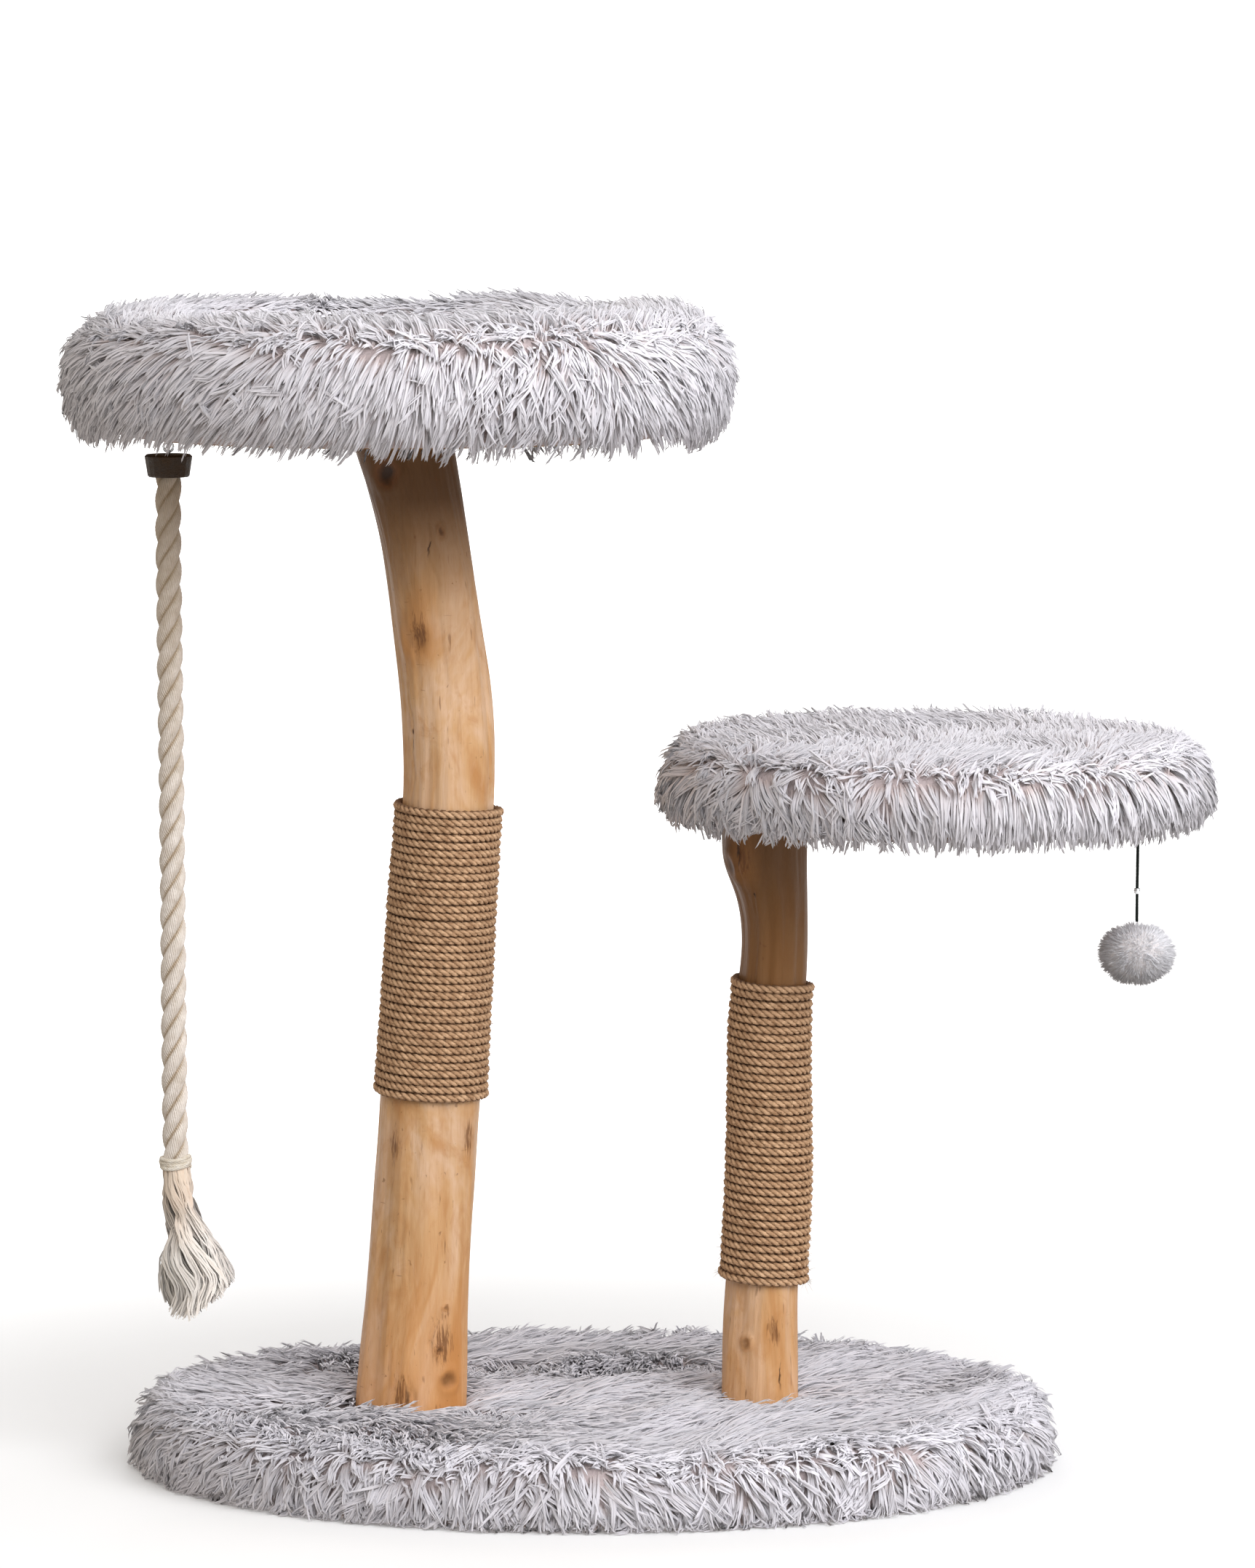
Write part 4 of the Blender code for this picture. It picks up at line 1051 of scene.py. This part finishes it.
def grow_guides(roots, normals, fur, tree, rng):
    """Guide curves: each rises from the skin, bends into the comb direction, sags, and lies on the pile.
    Returns them with the skin's normals beside them."""
    comb = fur["comb"](roots, normals)
    wild = rng.random(len(roots)) < fur["wild"](roots, normals)
    comb[wild] = unit(comb[wild] + rng.normal(0, 1.0, (wild.sum(), 3)))
    comb = unit(comb - 0.85 * (comb * normals).sum(-1, keepdims=True) * normals)
    lengths = fur["length"](roots, normals) * rng.uniform(0.88, 1.08, len(roots))
    lift = fur["lift"](roots, normals)[:, None]
    heading = unit(normals * lift + comb * (1 - lift))
    curl = fur["curl"](roots, normals)[:, None]
    swirl = unit(rng.normal(size=roots.shape))
    rise = rng.uniform(0.80, 1.06, len(roots)) * fur["pile"]
    path, beside = [roots], [normals]
    for k in range(1, len(SHARES)):
        turn = np.cross(heading, swirl) * curl
        drift = rng.normal(0, 0.06, roots.shape)
        heading = unit(heading + comb * 0.45 + turn - UP * fur["gravity"] * k / 2 + drift)
        points = path[-1] + heading * (lengths * (SHARES[k] - SHARES[k - 1]))[:, None]
        least = rise * RISES[k]
        beside.append(settle_on_skin(points, tree, least, least * 1.15 + fur["freedom"]))
        push_off_trunks(points, fur["trunks"])
        points[:, 2] = np.maximum(points[:, 2], fur["floor"])
        heading = unit(points - path[-1])
        path.append(points)
    return np.stack(path, axis=1), np.stack(beside, axis=1)


def grow_fur(name, skin, fur, material, seed):
    """Covers a skin in locks. Each lock follows its nearest guide and holds a few strands."""
    thinning = 1.0
    rng = np.random.default_rng(seed)
    guide_roots, guide_normals = sample_roots(skin, fur["guide_spacing"], fur, seed)
    guides, beside = grow_guides(guide_roots, guide_normals, fur, skin_tree(skin), rng)
    roots, normals = sample_roots(skin, fur["spacing"] * thinning, fur, seed + 1)
    lookup = KDTree(len(guide_roots))
    for i, root in enumerate(guide_roots):
        lookup.insert(root, i)
    lookup.balance()
    nearest = np.array([lookup.find(root)[1] for root in roots])

    # A lock runs like its guide for most of its length, and lies at its own depth in the pile. Some are
    # short and fill the pile near the skin.
    steps = np.array(SHARES)
    short = rng.random(len(roots)) < 0.22
    reach = np.where(short, rng.uniform(0.35, 0.6, len(roots)), rng.uniform(0.7, 1, len(roots)))
    whole = reach[:, None] * steps
    relative = guides[nearest] - guides[nearest][:, :1]
    at = np.clip(np.searchsorted(steps, whole) - 1, 0, len(steps) - 2)
    part = ((whole - steps[at]) / (steps[at + 1] - steps[at]))[..., None]
    rows = np.arange(len(roots))[:, None]
    relative = relative[rows, at] * (1 - part) + relative[rows, at + 1] * part
    depth = rng.uniform(0.50, 1.0, len(roots))[:, None, None]
    upright = (relative * normals[:, None]).sum(-1, keepdims=True) * normals[:, None]
    relative = relative - (1 - depth) * upright
    drawn = (guide_roots[nearest] - roots)[:, None] * (fur["clump"] * steps)[None, :, None]
    stray = rng.normal(0, 1, (len(roots), 1, 3)) * (fur["stray"] * steps**1.5)[None, :, None]
    crimp_axis = unit(rng.normal(size=(len(roots), 1, 3)))
    crimp = np.sin(steps * rng.uniform(4, 8, (len(roots), 1)) + rng.uniform(0, 6, (len(roots), 1))) * steps
    locks = roots[:, None] + relative + drawn + stray + 0.0009 * crimp[..., None] * crimp_axis

    # Its strands start side by side and close up towards the tip.
    patch = 0.5 + 0.16 * wave_noise(roots, 0.05, seed + 3)
    lock_tone = patch + rng.normal(0, 0.13, len(roots))
    width = fur["width"] * thinning**0.6 * (1 - 0.28 * smoothstep(0.6, 0.95, normals[:, 2]))
    strands, tones = [], []
    for _ in range(fur["strands"]):
        offset = rng.normal(0, 0.9, (len(roots), 1, 3)) * width[:, None, None]
        own = rng.uniform(0.86, 1.0, (len(roots), 1, 1))
        strands.append(locks[:, :1] + (locks - locks[:, :1]) * own + offset * (1.0 - 0.45 * steps)[:, None])
        tones.append(lock_tone + rng.normal(0, 0.08, len(roots)))
    paths = np.concatenate(strands)
    tones = np.concatenate(tones)
    facing = np.tile(beside[nearest], (fur["strands"], 1, 1))
    paths[..., 2] = np.maximum(paths[..., 2], fur["floor"])
    width = np.tile(width, fur["strands"]) * rng.uniform(0.75, 1.2, len(paths))
    radii = width[:, None] * np.array(TAPER)
    order = rng.permutation(len(paths))
    pieces = max(1, math.ceil(len(paths) / STRANDS_PER_PIECE))
    for number, part_of in enumerate(np.array_split(order, pieces), start=1):
        piece = tube_piece(
            f"{name}_{number:02d}",
            paths[part_of],
            radii[part_of],
            3,
            material,
            tones=tones[part_of],
            facing=facing[part_of],
            seed=seed + number,
            pointed=True,
            flatness=0.6,
        )
        place(piece, "root", "fur")


def grow_underfur(name, skin, fur, share, material, seed):
    """Short fur standing in all directions along the partings, where long fur leans away from the skin."""
    under = {
        **fur,
        "comb": lambda points, normals: unit(np.random.default_rng(seed).normal(size=points.shape)),
        "density": lambda points, normals: at_parting(share(points, normals)) * (normals[:, 2] >= BARE_BELOW),
        "length": lambda points, normals: np.full(len(points), 0.016),
        "lift": lambda points, normals: np.full(len(points), 0.62),
        "wild": lambda points, normals: np.zeros(len(points)),
        "pile": 0.9 * fur["pile"],
        "spacing": 0.0030,
    }
    grow_fur(name, skin, under, material, seed)


def heading_field(points, degrees, swing_deg, scale, seed):
    """Level directions about one compass angle, wandering smoothly by up to swing_deg."""
    angle = np.radians(degrees + swing_deg * wave_noise(points, scale, seed))
    return np.stack([np.cos(angle), np.sin(angle), 0 * angle], axis=1)


def parted(first, second, share, seed, softness=0.22):
    """Turns from first to second where share passes a half, each root at its own moment."""
    chance = np.random.default_rng(seed).uniform(0.05, 0.95, len(share))
    turn = smoothstep(chance - softness, chance + softness, share)[:, None]
    return unit(first * (1 - turn) + second * turn)


def at_parting(share):
    """1 where the comb directions part, 0 away from there."""
    return np.clip(1 - np.abs(2 * share - 1), 0, 1)


def thickly(normals, share):
    """How densely fur grows: more on the sides, which are seen face on, and most along a parting, where
    the fur leans away on both sides. Undersides carry none."""
    sides = smoothstep(0.85, 0.4, np.abs(normals[:, 2]))
    return np.where(normals[:, 2] < BARE_BELOW, 0.0, 1.0 + 0.7 * sides + 1.3 * at_parting(share))


def long_fur(over, wild, lift, **settings):
    """Fur settings for a pad whose fur parts along its upper edge, where over passes a half. wild and lift
    are each a pair: the value away from the parting, and how much more it is there."""

    def more_at_parting(value, rise):
        return lambda points, normals: value + rise * at_parting(over(points, normals))

    return {
        "density": lambda points, normals: thickly(normals, over(points, normals)),
        "wild": more_at_parting(*wild),
        "lift": more_at_parting(*lift),
        "clump": 0.24,
        "strands": 2,
        "width": 0.00090,
        **settings,
    }


def build_base_fur(materials):
    _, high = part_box("base_cover")
    pile_room = 0.004
    half_width, half_depth, top = high.x - pile_room, high.y - pile_room, high.z - pile_room
    outline = densify(rounded_profile(half_width, 0.001, top, 0.006, 0.020), OUTLINE_SPACING)
    skin = slab_skin("base_skin", (0, 0), half_width, half_depth, outline, materials["pelt"], 41, 0.002)
    place(skin, "root", "fur", "base_cover")
    trunks = (TALL_STATIONS, SHORT_STATIONS)

    def outward(points):
        x, y = points[:, 0] / half_width**2, points[:, 1] / half_depth**2
        return unit(np.stack([x, y, 0 * x], axis=1))

    def over(points, normals):
        inside = (1 - np.hypot(points[:, 0] / half_width, points[:, 1] / half_depth)) * half_depth
        inside += 0.006 * wave_noise(points, 0.05, 45)
        return smoothstep(-0.004, 0.030, inside) * (normals[:, 2] > 0)

    def comb(points, normals):
        away = outward(points)
        turned = 170 * smoothstep(-0.02, -0.36, points[:, 0])
        main = heading_field(points, -14 - turned, 38, 0.18, 42)
        rim = np.hypot(points[:, 0] / half_width, points[:, 1] / half_depth)
        flat = unit(main + away * smoothstep(0.86, 1.0, rim)[:, None] * 0.9)
        sideways = np.cross(away, UP) * (0.65 * wave_noise(points, 0.06, 43))[:, None]
        hang = unit(-UP + 0.30 * away + sideways)
        return parted(hang, flat, over(points, normals), 46)

    def length(points, normals):
        side = np.minimum(0.042, points[:, 2] * 1.1 + 0.012)
        rim = np.hypot(points[:, 0] / half_width, points[:, 1] / half_depth)
        upper = 0.042 - 0.014 * smoothstep(0.80, 0.95, rim)
        return np.where(normals[:, 2] > 0.7, upper, side)

    def density(points, normals):
        bare = np.zeros(len(points), bool)
        for stations in trunks:
            x, y, radius = through(stations, np.array(stations[0][0] + 0.03))
            bare |= np.hypot(points[:, 0] - x, points[:, 1] - y) < radius
        return np.where(bare, 0.0, thickly(normals, over(points, normals)))

    fur = long_fur(
        over,
        wild=(0.08, 0.45),
        lift=(0.30, 0.32),
        comb=comb,
        length=length,
        density=density,
        curl=lambda points, normals: np.where(normals[:, 2] > 0.9, 0.12, 0.50),
        gravity=0.10,
        freedom=0.0022,
        pile=0.0115,
        floor=0.0012,
        trunks=trunks,
        guide_spacing=0.0080,
        spacing=0.0039,
        stray=0.0019,
    )
    grow_fur("base_fur", skin, fur, materials["base_fur"], 44)
    grow_underfur("base_underfur", skin, fur, over, materials["base_fur"], 47)


def build_perch_fur(materials):
    low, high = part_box("perch_pad")
    centre = (low + high) / 2
    pile_room, corner = 0.008, 0.022
    radius = high.x - centre.x - pile_room
    outline = densify(rounded_profile(radius, low.z, high.z - 0.002, corner, corner), OUTLINE_SPACING)
    skin = slab_skin(
        "perch_skin", (centre.x, centre.y), radius, radius, outline, materials["pelt"], 51, 0.0012
    )
    place(skin, "root", "fur", "perch_pad")
    bottom = low.z

    def messy(points):
        return smoothstep(0.15, -0.55, (points[:, 0] - centre.x) / radius)

    def over(points, normals):
        inside = radius - np.hypot(points[:, 0] - centre.x, points[:, 1] - centre.y)
        inside += 0.004 * wave_noise(points, 0.05, 55)
        return smoothstep(0.001, 0.026, inside) * (normals[:, 2] > 0)

    def comb(points, normals):
        local = (points - np.array(centre)) / radius
        away = unit(local * [1, 1, 0])
        main = heading_field(points, 100, 40, 0.13, 52)
        main = unit(main + 0.8 * away * np.abs(local[:, :1]))
        wild = 0.10 + 0.85 * messy(points)
        sideways = np.cross(away, UP) * (wave_noise(points, 0.055, 53) * wild)[:, None]
        hang = unit(-UP + sideways)
        return parted(hang, main, over(points, normals), 56)

    def length(points, normals):
        side = np.clip((points[:, 2] - bottom) * 0.92 + 0.010, 0.012, 0.048)
        return np.where(normals[:, 2] > 0.70, 0.027, side)

    fur = long_fur(
        over,
        wild=(0.04, 0.50),
        lift=(0.26, 0.34),
        comb=comb,
        length=length,
        curl=lambda points, normals: 0.08 + 0.40 * messy(points),
        gravity=0.10,
        freedom=0.0020,
        pile=0.0110,
        floor=bottom - FUR_BELOW_BED,
        trunks=(SHORT_STATIONS,),
        guide_spacing=0.0075,
        spacing=0.0038,
        stray=0.0015,
    )
    grow_fur("perch_fur", skin, fur, materials["bed_fur"], 54)
    grow_underfur("perch_underfur", skin, fur, over, materials["bed_fur"], 57)


def bolster_skin(centre, outer, low, high, material):
    """The stuffed ring of the upper bed: a superellipse section turned about the middle, softly uneven."""
    half_width, half_height = 0.0475, (high - low) / 2
    turns = np.linspace(0, 2 * math.pi, 200, endpoint=False)
    section = np.linspace(0, 2 * math.pi, 44, endpoint=False)
    c, s = np.cos(section), np.sin(section)
    across = half_width * np.sign(c) * np.abs(c) ** (2 / 2.5)
    up = half_height * np.sign(s) * np.abs(s) ** (2 / 2.5)
    turn, index = np.meshgrid(turns, np.arange(len(section)))
    reach = outer - half_width + across[index]
    height = low + half_height + up[index]
    rings = np.stack([centre.x + reach * np.cos(turn), centre.y + reach * np.sin(turn), height], axis=-1)
    upper = smoothstep(-0.2, 0.8, up[index] / half_height)
    rings[..., 2] += 0.0035 * wave_noise(rings, 0.16, 61) * upper
    return grid_solid("bolster_skin", rings, material, looped=True)


def build_bed_fur(materials):
    low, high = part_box("upper_bed_bolster")
    centre = (low + high) / 2
    pile_room = 0.006
    outer = high.x - centre.x - pile_room
    # Its underside is a little raised, so that the rope's end cap clears it as the rope swings.
    cap_room, top_margin = 0.0058, 0.004
    skin = bolster_skin(centre, outer, low.z + cap_room, high.z - top_margin, materials["pelt"])
    place(skin, "root", "fur", "upper_bed_bolster")
    bottom = low.z

    def over(points, normals):
        away = unit((points - np.array(centre)) * [1, 1, 0])
        inside = outer - ((points - np.array(centre)) * away).sum(-1)
        inside += 0.005 * wave_noise(points, 0.05, 65)
        return smoothstep(0.004, 0.030, inside) * (normals[:, 2] > -0.2)

    def comb(points, normals):
        local = points - np.array(centre)
        away = unit(local * [1, 1, 0])
        round_way = np.cross(UP, away)
        turn_angle = np.arctan2(local[:, 1], local[:, 0])
        sweep = 1.10 * np.sin(turn_angle + math.radians(62)) + 0.35 * wave_noise(points, 0.10, 62)
        hang = unit(-UP + 0.10 * away + round_way * sweep[:, None] * 0.80)
        inward = unit(-away * 0.55 + 0.25 * UP + round_way * sweep[:, None])
        return parted(hang, inward, over(points, normals), 66)

    def length(points, normals):
        side = np.clip((points[:, 2] - bottom) * 0.9 + 0.017, 0.023, 0.040)
        return np.where(normals[:, 2] > 0.6, 0.029, side)

    def curl(points, _normals):
        along = points[:, 0] - centre.x
        tangled = smoothstep(0.02, 0.08, along) * smoothstep(0.19, 0.13, along) * (points[:, 1] < 0)
        return 0.06 + 0.38 * tangled

    fur = long_fur(
        over,
        wild=(0.04, 0.45),
        lift=(0.32, 0.32),
        comb=comb,
        length=length,
        curl=curl,
        gravity=0.08,
        freedom=0.0020,
        pile=0.0110,
        floor=bottom - FUR_BELOW_BED,
        trunks=(),
        guide_spacing=0.0075,
        spacing=0.0039,
        stray=0.0015,
    )
    grow_fur("bolster_fur", skin, fur, materials["bed_fur"], 64)
    grow_underfur("bolster_underfur", skin, fur, over, materials["bed_fur"], 67)

    low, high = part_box("upper_bed_cushion")
    middle = (low + high) / 2
    radius = high.x - middle.x - 0.002
    outline = densify(rounded_profile(radius, low.z, high.z - 0.002, 0.008, 0.016), OUTLINE_SPACING)
    cushion = slab_skin(
        "cushion_skin", (middle.x, middle.y), radius, radius, outline, materials["pelt"], 71, 0.003
    )
    place(cushion, "root", "fur", "upper_bed_cushion")
    nest = {
        **fur,
        "comb": lambda points, normals: heading_field(points, 200, 70, 0.10, 72),
        "length": lambda points, normals: np.full(len(points), 0.032),
        "density": lambda points, normals: np.where(normals[:, 2] > 0.5, 1.0, 0.0),
        "curl": lambda points, normals: np.full(len(points), 0.15),
        "lift": lambda points, normals: np.full(len(points), 0.35),
        "wild": lambda points, normals: np.full(len(points), 0.08),
        "floor": low.z,
    }
    grow_fur("cushion_fur", cushion, nest, materials["bed_fur"], 74)


# ---------------------------------------------------------------- toy and fittings


def build_pompom(materials):
    """A dense ball of short straight pile on a small core."""
    low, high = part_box("pompom")
    centre = np.array((low + high) / 2)
    radii = np.array(high - low) / 2 * [1.06, 1.06, 1.05]
    root_reach, core_reach, most_reach = 0.42, 0.84, 1.05
    rng = np.random.default_rng(81)
    count = 11500
    outward = unit(rng.normal(size=(count, 3)))
    bumps = 1.0 + 0.035 * wave_noise(outward, 1.1, 82)
    steps = np.linspace(root_reach, 1.0, 4)[None, :, None]
    reach = (bumps * rng.uniform(0.86, 1.04, count))[:, None, None]
    lean = rng.normal(0, 0.20, (count, 1, 3)) + 0.12 * wave_noise(outward * 2.2, 1.0, 83)[:, None, None]
    droop = np.array([0, 0, -0.06])
    offsets = reach * (outward[:, None] * steps + (lean + droop) * (steps - root_reach) ** 1.5)
    beyond = np.maximum(1, np.linalg.norm(offsets, axis=-1, keepdims=True) / most_reach)
    paths = centre + radii * offsets / beyond
    width = rng.uniform(0.00028, 0.00046, (count, 1)) * 1.0
    strand_radii = width * np.array([1.0, 1.05, 0.9, 0.0])
    tones = 0.6 + 0.2 * wave_noise(outward, 0.7, 84) + rng.normal(0, 0.12, count)
    facing = np.repeat(unit(outward + rng.normal(0, 0.15, outward.shape))[:, None], paths.shape[1], axis=1)
    pile = tube_piece(
        "pompom_pile", paths, strand_radii, 3, materials["pompom"], tones, facing, seed=85, pointed=True
    )
    place(pile, "pompom_toy", "pompom_fur", "pompom")

    turns = np.linspace(0, 2 * math.pi, 40, endpoint=False)
    rings = []
    for tilt in np.linspace(-1.45, 1.45, 19):
        x, y = math.cos(tilt) * np.cos(turns), math.cos(tilt) * np.sin(turns)
        ring = np.stack([x, y, 0 * turns + math.sin(tilt)], axis=1)
        rings.append(centre + radii * core_reach * ring)
    core = grid_solid("pompom_core", rings, materials["pompom_core"])
    place(core, "pompom_toy", "pompom_fur")
    return [pile, core]


def wire_ring(name, node, facing, material, body, slot, wire):
    """A smooth wire ring in place of a faceted CAD one. facing is the ring's own axis, X or Y."""
    low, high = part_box(node)
    height = high.y - low.y if facing == "X" else high.x - low.x
    radius = height / 2 - wire
    centre = Vector(((low.x + high.x) / 2, (low.y + high.y) / 2, low.z + wire + radius))
    turns = np.linspace(0, 2 * math.pi, 40, endpoint=False)
    rings = []
    for turn in turns:
        level = np.array([0, 1, 0]) if facing == "X" else np.array([1, 0, 0])
        along = np.array([1, 0, 0]) if facing == "X" else np.array([0, 1, 0])
        outward = level * math.cos(turn) + UP * math.sin(turn)
        section = np.linspace(0, 2 * math.pi, 14, endpoint=False)[:, None]
        around = outward * np.cos(section) + along * np.sin(section)
        rings.append(np.array(centre) + outward * radius + wire * around)
    if facing == "X":
        rings = rings[::-1]
    ring = grid_solid(name, rings, material, looped=True)
    return place(ring, body, slot)


def build_toy(materials):
    """Elastic braided round a core, hung by a loop from the screw eye, with its bead and the pompom."""
    radius = TOY_CORD_RADIUS
    low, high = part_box("toy_cord")
    route = [
        (TOY_X, TOY_Y, high.z),
        (TOY_X - TOY_LEAN * 2 / 3, TOY_Y, TOY_BEAD_HEIGHT + 0.012),
        (TOY_X - TOY_LEAN, TOY_Y, TOY_BEAD_HEIGHT),
        (TOY_X - TOY_LEAN, TOY_Y, low.z),
    ]
    line = rope_line(route, 0.0008)
    ply_distance, ply_radius, ply_lay, core_radius = radius * 0.55, radius * 0.58, 0.0050, radius * 0.95
    one_way = twisted(line, ply_distance, ply_lay, 4)
    other_way = twisted(line, ply_distance, -ply_lay, 4, 0.4)
    plies = np.concatenate([one_way, other_way, line[None]])
    radii = np.full(plies.shape[:2], ply_radius)
    radii[-1] = core_radius
    cord = tube_piece("toy_cord_braid", plies, radii, 5, materials["elastic"], seed=91)
    place(cord, "pompom_toy", "elastic", "toy_cord")
    loop = wire_ring("toy_loop_cord", "toy_loop", "Y", materials["elastic"], "toy_loop", "elastic", 0.0008)
    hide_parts("toy_loop")
    pompom = build_pompom(materials)


def finish_cad_nodes(materials):
    """Gives the CAD nodes that stay in view their materials."""
    finishes = {
        "base_liner": "felt",
        "base_board": "plywood",
        "base_foam": "foam",
        "upper_bed_board": "plywood",
        "perch_board": "plywood",
        "rope_end_cap": "leather",
        "toy_top_knot": "elastic",
    }
    for name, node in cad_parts.items():
        if node.hide_render:
            continue
        node.data.materials.clear()
        node.data.materials.append(materials[finishes.get(name, "steel")])


def make_materials():
    # Roots darker than tips: partly the fur's own colour, partly painted shade deep in the pile.
    tip, body, root = srgb(0.940, 0.930, 0.952), srgb(0.910, 0.885, 0.897), srgb(0.835, 0.760, 0.742)
    base_tip, base_body = srgb(0.942, 0.932, 0.957), srgb(0.900, 0.882, 0.900)
    base_root = srgb(0.800, 0.740, 0.728)
    pompom_tip, pompom_body = srgb(0.930, 0.925, 0.940), srgb(0.850, 0.840, 0.845)
    pompom_root = srgb(0.800, 0.770, 0.755)
    return {
        "bed_fur": strand_material("bed_fur_strands", root, body, tip, sheen=0.15),
        "base_fur": strand_material("base_fur_strands", base_root, base_body, base_tip, sheen=0.15),
        "pelt": pelt_material("pelt", srgb(0.77, 0.71, 0.71)),
        "pompom": strand_material("pompom_strands", pompom_root, pompom_body, pompom_tip),
        "pompom_core": pelt_material("pompom_core", srgb(0.84, 0.82, 0.82)),
        "rope": fibre_material(
            "rope_cotton",
            srgb(0.83, 0.785, 0.735),
            srgb(0.95, 0.92, 0.89),
            110.0,
            # The tint is painted shade: the rope darker towards its top, up under the upper bed.
            tint=(0.48, 0.76, srgb(0.69, 0.59, 0.45), 0.48),
            # The groove colour is painted shade between the strands.
            groove_shade=srgb(0.72, 0.64, 0.53),
        ),
        "twine": fibre_material("whipping_twine", srgb(0.86, 0.81, 0.73), srgb(0.95, 0.93, 0.89), 300.0),
        "tassel": strand_material(
            "tassel_yarns",
            srgb(0.94, 0.87, 0.79),
            srgb(0.95, 0.88, 0.81),
            srgb(0.99, 0.965, 0.935),
            0.8,
            sheen=0.3,
        ),
        "jute": fibre_material(
            # The groove colour is painted shade between the strands and turns.
            "jute_rope", srgb(0.66, 0.51, 0.38), srgb(0.90, 0.75, 0.60), 160.0, groove_shade=srgb(0.38, 0.27, 0.18)
        ),
        "elastic": fibre_material("black_elastic", (0.006, 0.010, 0.008), (0.018, 0.024, 0.021), 600.0),
        "plywood": plywood_material(),
        "steel": steel_material(),
        "felt": felt_material(),
        "foam": foam_material(),
        "leather": leather_material(),
    }


def main():
    build_stage()
    materials = make_materials()
    build_play_rope(materials)
    build_toy(materials)
    tall_marks = (TALL_KNOTS, TALL_CRACKS, TALL_SMUDGES, TALL_STAIN_AND_SHADE_BANDS)
    short_marks = (SHORT_KNOTS, SHORT_CRACKS, SHORT_SMUDGES, SHORT_STAIN_AND_SHADE_BANDS)
    build_trunk("tall_trunk", TALL_STATIONS, *tall_marks, sides=168, seed=101)
    build_trunk("short_trunk", SHORT_STATIONS, *short_marks, sides=132, seed=102)
    build_winding("tall_trunk", TALL_STATIONS, TALL_WRAP_RANGE, materials, points_per_turn=130, seed=111)
    build_winding("short_trunk", SHORT_STATIONS, SHORT_WRAP_RANGE, materials, points_per_turn=104, seed=121)
    build_base_fur(materials)
    build_perch_fur(materials)
    build_bed_fur(materials)
    finish_cad_nodes(materials)


main()
